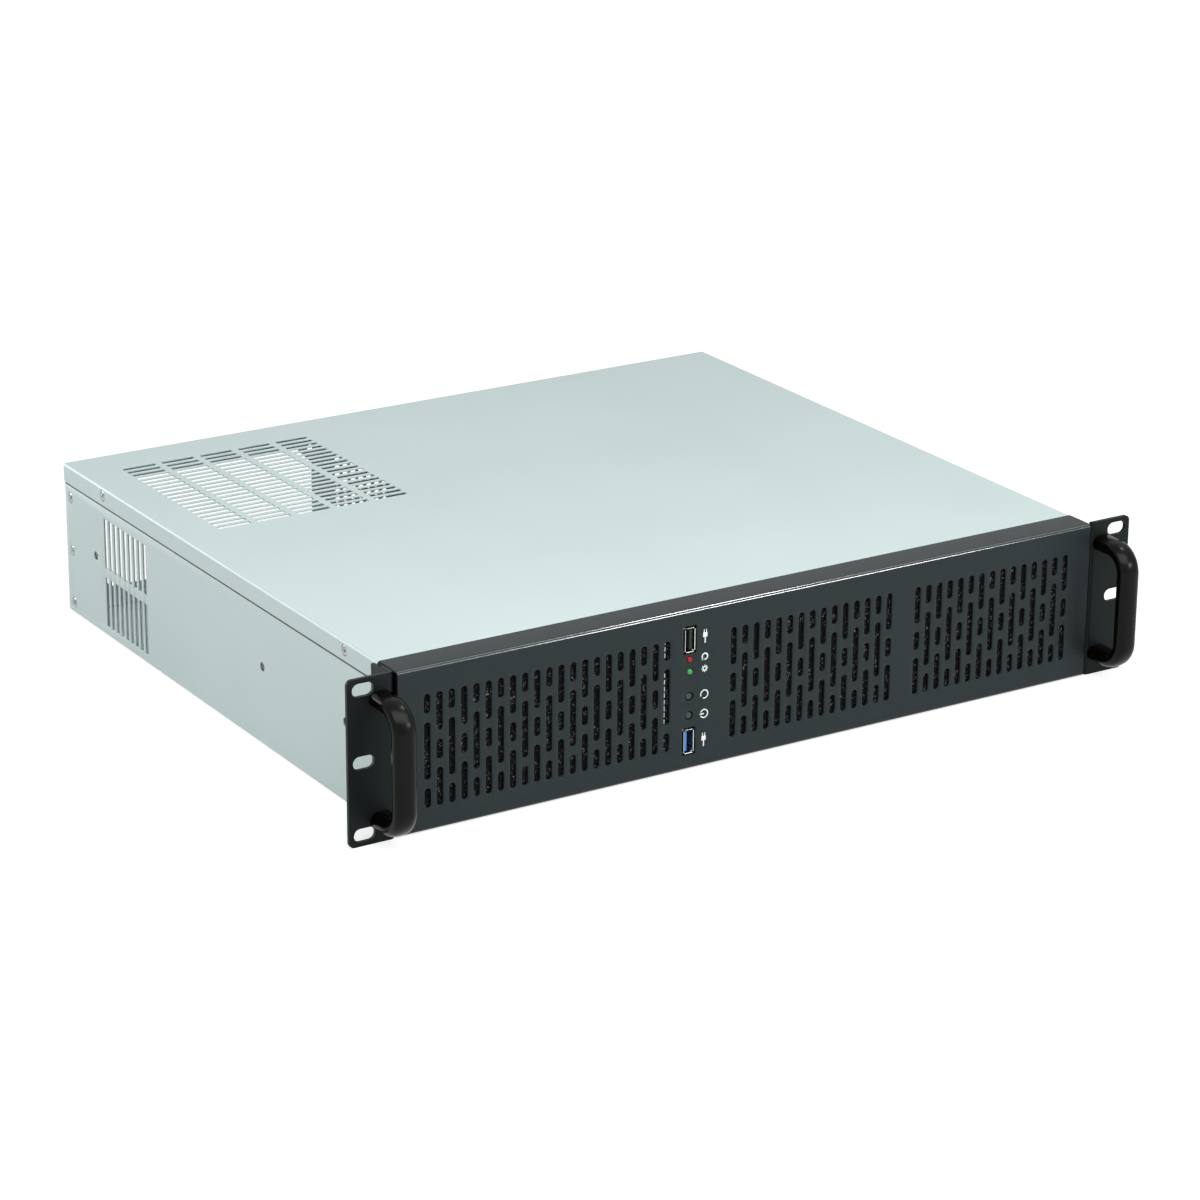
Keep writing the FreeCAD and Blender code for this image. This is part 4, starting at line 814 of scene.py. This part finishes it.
# %% [markdown]
# ## Ports, lamps and buttons
# The port shells are thin drawn steel, slit at the corners of the mouth, so the mouth shows as four short
# bright edges with a dark gap round them. One outline with a margin gives every ring of the tube.
# Inside, the tongue carries flat contacts, and the lower port's tongue is a thin blue blade on a black base.

# %% Port shells and contacts
PORT_WIDE, PORT_TALL, PORT_DEEP, PORT_WALL, PORT_RIM = 6.2, 13.4, 14.0, 0.4, 0.5
PORT_CORNER, RIM_BACK, PORT_NOTCH = 0.9, 2.6, 1.6
BLADE_OFFSET, BLADE_THICK, BLADE_TALL, BASE_DEEP = 0.95, 1.0, 11.1, 4.0
PAD_SPAN, PAD_HALF, PAD_RISE, PAD_START, PAD_END = 7.8, 0.45, 0.06, 0.8, 7.4


def shell_surface(z):
    """Rings of rounded rectangles from the tube's back, round the sunk rim and down the inside.
    The mouth is cut back at its corners, where the drawn steel is slit."""
    half_wide, half_tall = PORT_WIDE / 2, PORT_TALL / 2
    outline = rounded(CONTROL_X, z, half_wide, half_tall, PORT_CORNER)
    steps = [(0, PORT_DEEP - 0.1), (0, RIM_BACK), (PORT_RIM, RIM_BACK), (PORT_RIM, RIM_BACK - 0.3),
             (0.06, RIM_BACK - 0.4), (0, RIM_BACK - 0.5), (0, 0.12), (-0.08, 0), (-PORT_WALL + 0.1, 0),
             (-PORT_WALL, 0.1), (-PORT_WALL, PORT_DEEP - 0.1), (0, PORT_DEEP - 0.1)]
    corner = np.arange(RING) % (RING // 4)
    slit = PORT_NOTCH * ((corner > 0) & (corner < RING // 4 - 1))
    rings = [on_plane(outline(margin), face_front + depth) for margin, depth in steps]
    for ring, (margin, depth) in zip(rings, steps):
        if depth < 0.2:
            ring[:, 1] += slit
    return np.concatenate(rings), grid_faces(len(rings), RING, closed=True)


for port, z, side, count in (("usb2", USB2_Z, 1, 4), ("usb3", USB3_Z, -1, 5)):
    new_piece(port + "_drawn_shell", [shell_surface(z)], TIN, replaces=[port + "_shell"])
    tongue_front = box_mm(port + "_tongue")[0][1]
    seat = CONTROL_X + side * (BLADE_OFFSET - BLADE_THICK / 2)
    left, right = sorted((seat, seat - side * PAD_RISE))
    middles = z + PAD_SPAN * (np.arange(count) / (count - 1) - 0.5)
    pads = [small_block((left, tongue_front + PAD_START, middle - PAD_HALF),
                        (right, tongue_front + PAD_END, middle + PAD_HALF)) for middle in middles]
    new_piece(port + "_contacts", pads, GOLD)
blue_low, blue_high = box_mm("usb3_tongue")
base_front = blue_high[1] - BASE_DEEP
blade = CONTROL_X - BLADE_OFFSET
blade_block = small_block((blade - BLADE_THICK / 2, blue_low[1], USB3_Z - BLADE_TALL / 2),
                          (blade + BLADE_THICK / 2, base_front, USB3_Z + BLADE_TALL / 2))
new_piece("usb3_blade", [blade_block], BLUE, replaces=["usb3_tongue"], sharp_deg=20)
new_piece("usb3_base", [small_block((blue_low[0], base_front, blue_low[2]), tuple(blue_high))], BLACK)
print("ports made")


# %% [markdown]
# Lamps and buttons are turned parts too. A lamp has a low dome, a collar and two wires.
# A lathe tool or a screw modifier could turn them, but the same grid of rings as before is enough.

# %% Lamps
TURNED_POINTS, DOME_POINTS = 40, 10


def turned(place_z, profile):
    """A turned piece about the Y axis through the control column: radius and depth pairs from the front."""
    angle = 2 * np.pi * np.arange(TURNED_POINTS) / TURNED_POINTS
    still = np.ones(TURNED_POINTS)
    rings = [np.stack([CONTROL_X + r * np.cos(angle), (face_front + y) * still,
                       place_z + r * np.sin(angle)], -1) for r, y in profile]
    return np.concatenate(rings), grid_faces(len(rings), TURNED_POINTS, closed=True)


LAMP_RADIUS, LAMP_PROUD, LAMP_COLLAR, LAMP_BACK = 1.5, 0.74, 1.93, 4.1
WIRE_HALF, WIRE_APART, WIRE_START = 0.25, 0.635, 4.0
lamps = (("red_led", RED_Z, RED, "red_lens"), ("green_led", GREEN_Z, GREEN, "green_lens"))
for name, z, material, slot in lamps:
    turn = np.linspace(0, np.pi / 2, DOME_POINTS)
    dome = [(LAMP_RADIUS * math.sin(a), -LAMP_PROUD * math.cos(a)) for a in turn]
    body = [(LAMP_RADIUS, 1.3), (LAMP_COLLAR, 1.3), (LAMP_COLLAR, 2.3), (LAMP_RADIUS, 2.3),
            (LAMP_RADIUS, LAMP_BACK), (0, LAMP_BACK)]
    back = box_mm(name)[1][1]
    middles = (z - WIRE_APART, z + WIRE_APART)
    leads = [small_block((CONTROL_X - WIRE_HALF, face_front + WIRE_START, middle - WIRE_HALF),
                         (CONTROL_X + WIRE_HALF, back, middle + WIRE_HALF)) for middle in middles]
    new_piece(name + "_lens", [turned(z, dome + body)] + leads, material, replaces=[name])
print("lamps made:", len(lamps))

# %% [markdown]
# A button has a slightly hollow front with a small radius, and a collar that keeps it behind the face.
# Each one rides on its own body, so it moves when it is pressed.

# %% Buttons
BUTTON_RADIUS, BUTTON_SUNK, COLLAR_RADIUS = 2.1, 0.5, 3.2
COLLAR_THICK = 1.0
for name, z, body in (("reset_button", RESET_Z, "reset"), ("power_button", POWER_Z, "power")):
    back = box_mm(name)[1][1] - face_front
    front = back - COLLAR_THICK
    profile = [(0, BUTTON_SUNK + 0.06), (1.0, BUTTON_SUNK + 0.04), (1.5, BUTTON_SUNK),
               (1.7, BUTTON_SUNK + 0.04), (1.8, BUTTON_SUNK + 0.16), (BUTTON_RADIUS, BUTTON_SUNK + 1.6),
               (BUTTON_RADIUS, front), (COLLAR_RADIUS, front), (COLLAR_RADIUS, back), (0, back)]
    new_piece(name + "_turned", [turned(z, profile)], BUTTON, body=body,
              replaces=[name])
print("buttons made")

# %% [markdown]
# ## Printed marks
# Six plain marks stand beside the controls, screen printed in white: two plugs, a disk, a work light,
# a restart ring and an on ring. A text or an image could carry them, but flat shapes of bars and rings
# stay sharp at any distance. Each is a thin layer of ink just in front of the face.

# %% Bars, rings and discs of ink
MARK_X = -34.7
INK_THICK, INK_STEP_DEG = 0.03, 9
ink_front = face_front - INK_THICK


def ink(flat, faces):
    """A thin layer over flat (x, z) points: the front of the ink only."""
    return on_plane(np.array(flat, float), ink_front), faces


def ink_ring(u, v, radius, line, start_deg=0, end_deg=360):
    """A ring or arc of the given line width."""
    steps = max(8, int(abs(end_deg - start_deg) / INK_STEP_DEG))
    turn = np.radians(np.linspace(start_deg, end_deg, steps + 1))
    rings = [np.stack([u + r * np.cos(turn), v + r * np.sin(turn)], -1)
             for r in (radius - line / 2, radius + line / 2)]
    return ink(np.concatenate(rings), grid_faces(2, steps + 1))


def ink_bar(u_low, v_low, u_high, v_high):
    """A filled rectangle."""
    corners = [(u_low, v_low), (u_high, v_low), (u_high, v_high), (u_low, v_high)]
    return ink(corners, np.array([[0, 1, 2, 3]]))


def ink_disc(u, v, radius):
    """A filled disc as a ring that reaches its centre."""
    return ink_ring(u, v, radius / 2, radius)


def plug_mark(v):
    """A plug seen from the side: a cable line, a body and two pins."""
    x = MARK_X
    return [ink_bar(x - 0.35, v - 3.8, x + 0.35, v - 0.6), ink_bar(x - 1.3, v - 0.6, x + 1.3, v + 1.9),
            ink_bar(x - 0.9, v + 1.9, x - 0.45, v + 3.6), ink_bar(x + 0.45, v + 1.9, x + 0.9, v + 3.6)]


print("ink is", INK_THICK, "mm thick")

# %% [markdown]
# Each mark is a short list of shapes round one upright line, at the height of the part it belongs to.
# An open ring is an arc that leaves out some degrees.

# %% Six marks
RAY_PLACES = np.linspace(0, 2 * np.pi, 8, endpoint=False)
marks = {
    "upper_plug_mark": plug_mark(72.0),
    "disk_mark": [ink_ring(MARK_X, 60.8, 1.65, 0.75), ink_bar(MARK_X - 1.8, 59.0, MARK_X, 59.8)],
    "work_mark": [ink_ring(MARK_X, 54.2, 1.05, 0.7)] + [
        ink_disc(MARK_X + 1.75 * math.cos(a), 54.2 + 1.75 * math.sin(a), 0.28) for a in RAY_PLACES],
    "restart_mark": [ink_ring(MARK_X, 40.1, 2.2, 0.65, -110, 205)],
    "on_mark": [ink_ring(MARK_X, 29.4, 2.2, 0.65, -155, 155),
                ink_bar(MARK_X - 2.7, 29.1, MARK_X - 0.1, 29.7)],
    "lower_plug_mark": plug_mark(15.2),
}
for name, surfaces in marks.items():
    new_piece(name, surfaces, PRINT)
print("marks made:", len(marks))

# %% [markdown]
# ## Studio
# The case stands on pale paper in a white room. The camera and mirrors see the room as pure white, while
# it lights the case only a little. The paper glows for them too, more with the distance from the case,
# so that the background stays white and the shadow under the case is kept.
# A curved backdrop could do this as well, but it would stand in the way of a view from behind.

# %% Floor
def seen_rays(holder):
    """1 for rays that look at the background itself: camera, mirror and clear-plastic rays."""
    path = add(holder, "ShaderNodeLightPath")
    total = path.outputs["Is Camera Ray"]
    for kind in ("Is Glossy Ray", "Is Transmission Ray"):
        total = add(holder, "ShaderNodeMath", {0: total, 1: path.outputs[kind]}, operation="ADD",
                    use_clamp=True).outputs["Value"]
    return total


floor_mesh = bpy.data.meshes.new("floor")
FLOOR_HALF_M, FLOOR_DROP_MM = 6.0, 0.2
NEAR_GLOW, FAR_GLOW, NEAR_M, FAR_M = 0.66, 0.94, 0.5, 1.6
floor_corners = [(x * FLOOR_HALF_M, y * FLOOR_HALF_M, 0) for x, y in ((-1, -1), (1, -1), (1, 1), (-1, 1))]
floor_mesh.from_pydata(floor_corners, [], [(0, 1, 2, 3)])
floor_mesh.transform(Matrix.Translation((0, 0, -FLOOR_DROP_MM * MM)))
floor_material, floor_shader = new_material("floor_paper", "#C4C5C5", 0.0, 0.9, Specular_IOR_Level=0.0)
floor_shader.inputs["Emission Color"].default_value = linear("#FFFFFF")
floor_place = add(floor_material, "ShaderNodeTexCoord")
from_case = add(floor_material, "ShaderNodeVectorMath", {0: floor_place.outputs["Object"]},
                operation="LENGTH")
paper_glow = add(floor_material, "ShaderNodeMapRange",
                 {"Value": from_case.outputs["Value"], "From Min": NEAR_M, "From Max": FAR_M,
                  "To Min": NEAR_GLOW, "To Max": FAR_GLOW})
glow = add(floor_material, "ShaderNodeMath", {0: seen_rays(floor_material), 1: paper_glow.outputs["Result"]},
           operation="MULTIPLY")
wire(floor_material, glow.outputs["Value"], floor_shader, "Emission Strength")
floor_mesh.materials.append(floor_material)
floor = bpy.data.objects.new("floor", floor_mesh)
bpy.context.scene.collection.objects.link(floor)
print("floor made")


# %% [markdown]
# Four soft lights. The near one hangs over the face and makes the lid brighter in front than behind.
# The top and front ones are small, so they draw the thin lines on the fold and the spots on the handles.
# The left one stands behind and lights the side from the rear.
# One large light would do for a plain view, but four give each surface its own share.

# %% Lights and surround
def soft_light(name, place, target, size, power):
    """A rectangular light that faces its target. The camera doesn't see the lamp itself."""
    light = bpy.data.lights.new(name, "AREA")
    light.shape = "RECTANGLE"
    light.size, light.size_y = size
    light.energy = power
    lamp_object = bpy.data.objects.new(name, light)
    lamp_object.location = place
    lamp_object.rotation_euler = (Vector(target) - Vector(place)).to_track_quat("-Z", "Y").to_euler()
    lamp_object.visible_camera = False
    bpy.context.scene.collection.objects.link(lamp_object)


soft_light("top_light", (1.2, -0.1, 2.1), (0, -0.05, 0.05), (0.34, 0.2), 8)
soft_light("front_light", (1.3, -2.05, 0.9), (0, -0.15, 0.05), (0.5, 0.3), 13)
soft_light("near_light", (-0.15, -0.65, 0.78), (0, -0.12, 0.08), (1.6, 0.6), 12.5)
soft_light("left_light", (-0.7, 1.15, 0.3), (-0.2, 0.15, 0.05), (0.9, 0.5), 7.5)

world = bpy.data.worlds.new("surround")
world.use_nodes = True
bpy.context.scene.world = world
FILL = 0.18
surround = world.node_tree.nodes["Background"]
surround.inputs["Color"].default_value = linear("#FFFFFF")
strength = add(world, "ShaderNodeMapRange", {"Value": seen_rays(world), "To Min": FILL, "To Max": 1.0})
wire(world, strength.outputs["Result"], surround, "Strength")
bpy.context.scene.view_settings.view_transform = "Standard"
print("studio ready")

# %% [markdown]
# ## Camera
# The camera stands where the photograph was taken from. Its place, its roll and its focal length were
# fitted to the case's straight edges and corners, whose real sizes the rack standard gives.
# A camera placed by eye would come close, but then no edge could be compared with the photograph.

# %% Camera
CAMERA_PLACE = Vector((-1088.1, -1751.4, 786.1)) * MM
CAMERA_TARGET = Vector((-12.75, -41.35, 44.4)) * MM
CAMERA_ROLL_DEG = 0.42
PHOTO_SIDE, FOCAL_PIXELS, SENSOR_MM = 1200, 3977.41, 36.0
camera_data = bpy.data.cameras.new("photo_camera")
camera_data.sensor_width = SENSOR_MM
camera_data.lens = FOCAL_PIXELS / PHOTO_SIDE * SENSOR_MM
camera = bpy.data.objects.new("photo_camera", camera_data)
toward = (CAMERA_TARGET - CAMERA_PLACE).normalized()
level = toward.cross(Vector((0, 0, 1))).normalized()
upright = level.cross(toward)
roll = math.radians(CAMERA_ROLL_DEG)
right = level * math.cos(roll) + upright * math.sin(roll)
up = right.cross(toward)
turned_axes = Matrix((right, up, -toward)).transposed()
camera.matrix_world = Matrix.Translation(CAMERA_PLACE) @ turned_axes.to_4x4()
bpy.context.scene.collection.objects.link(camera)
bpy.context.scene.camera = camera
print("camera lens:", round(camera_data.lens, 2), "mm")
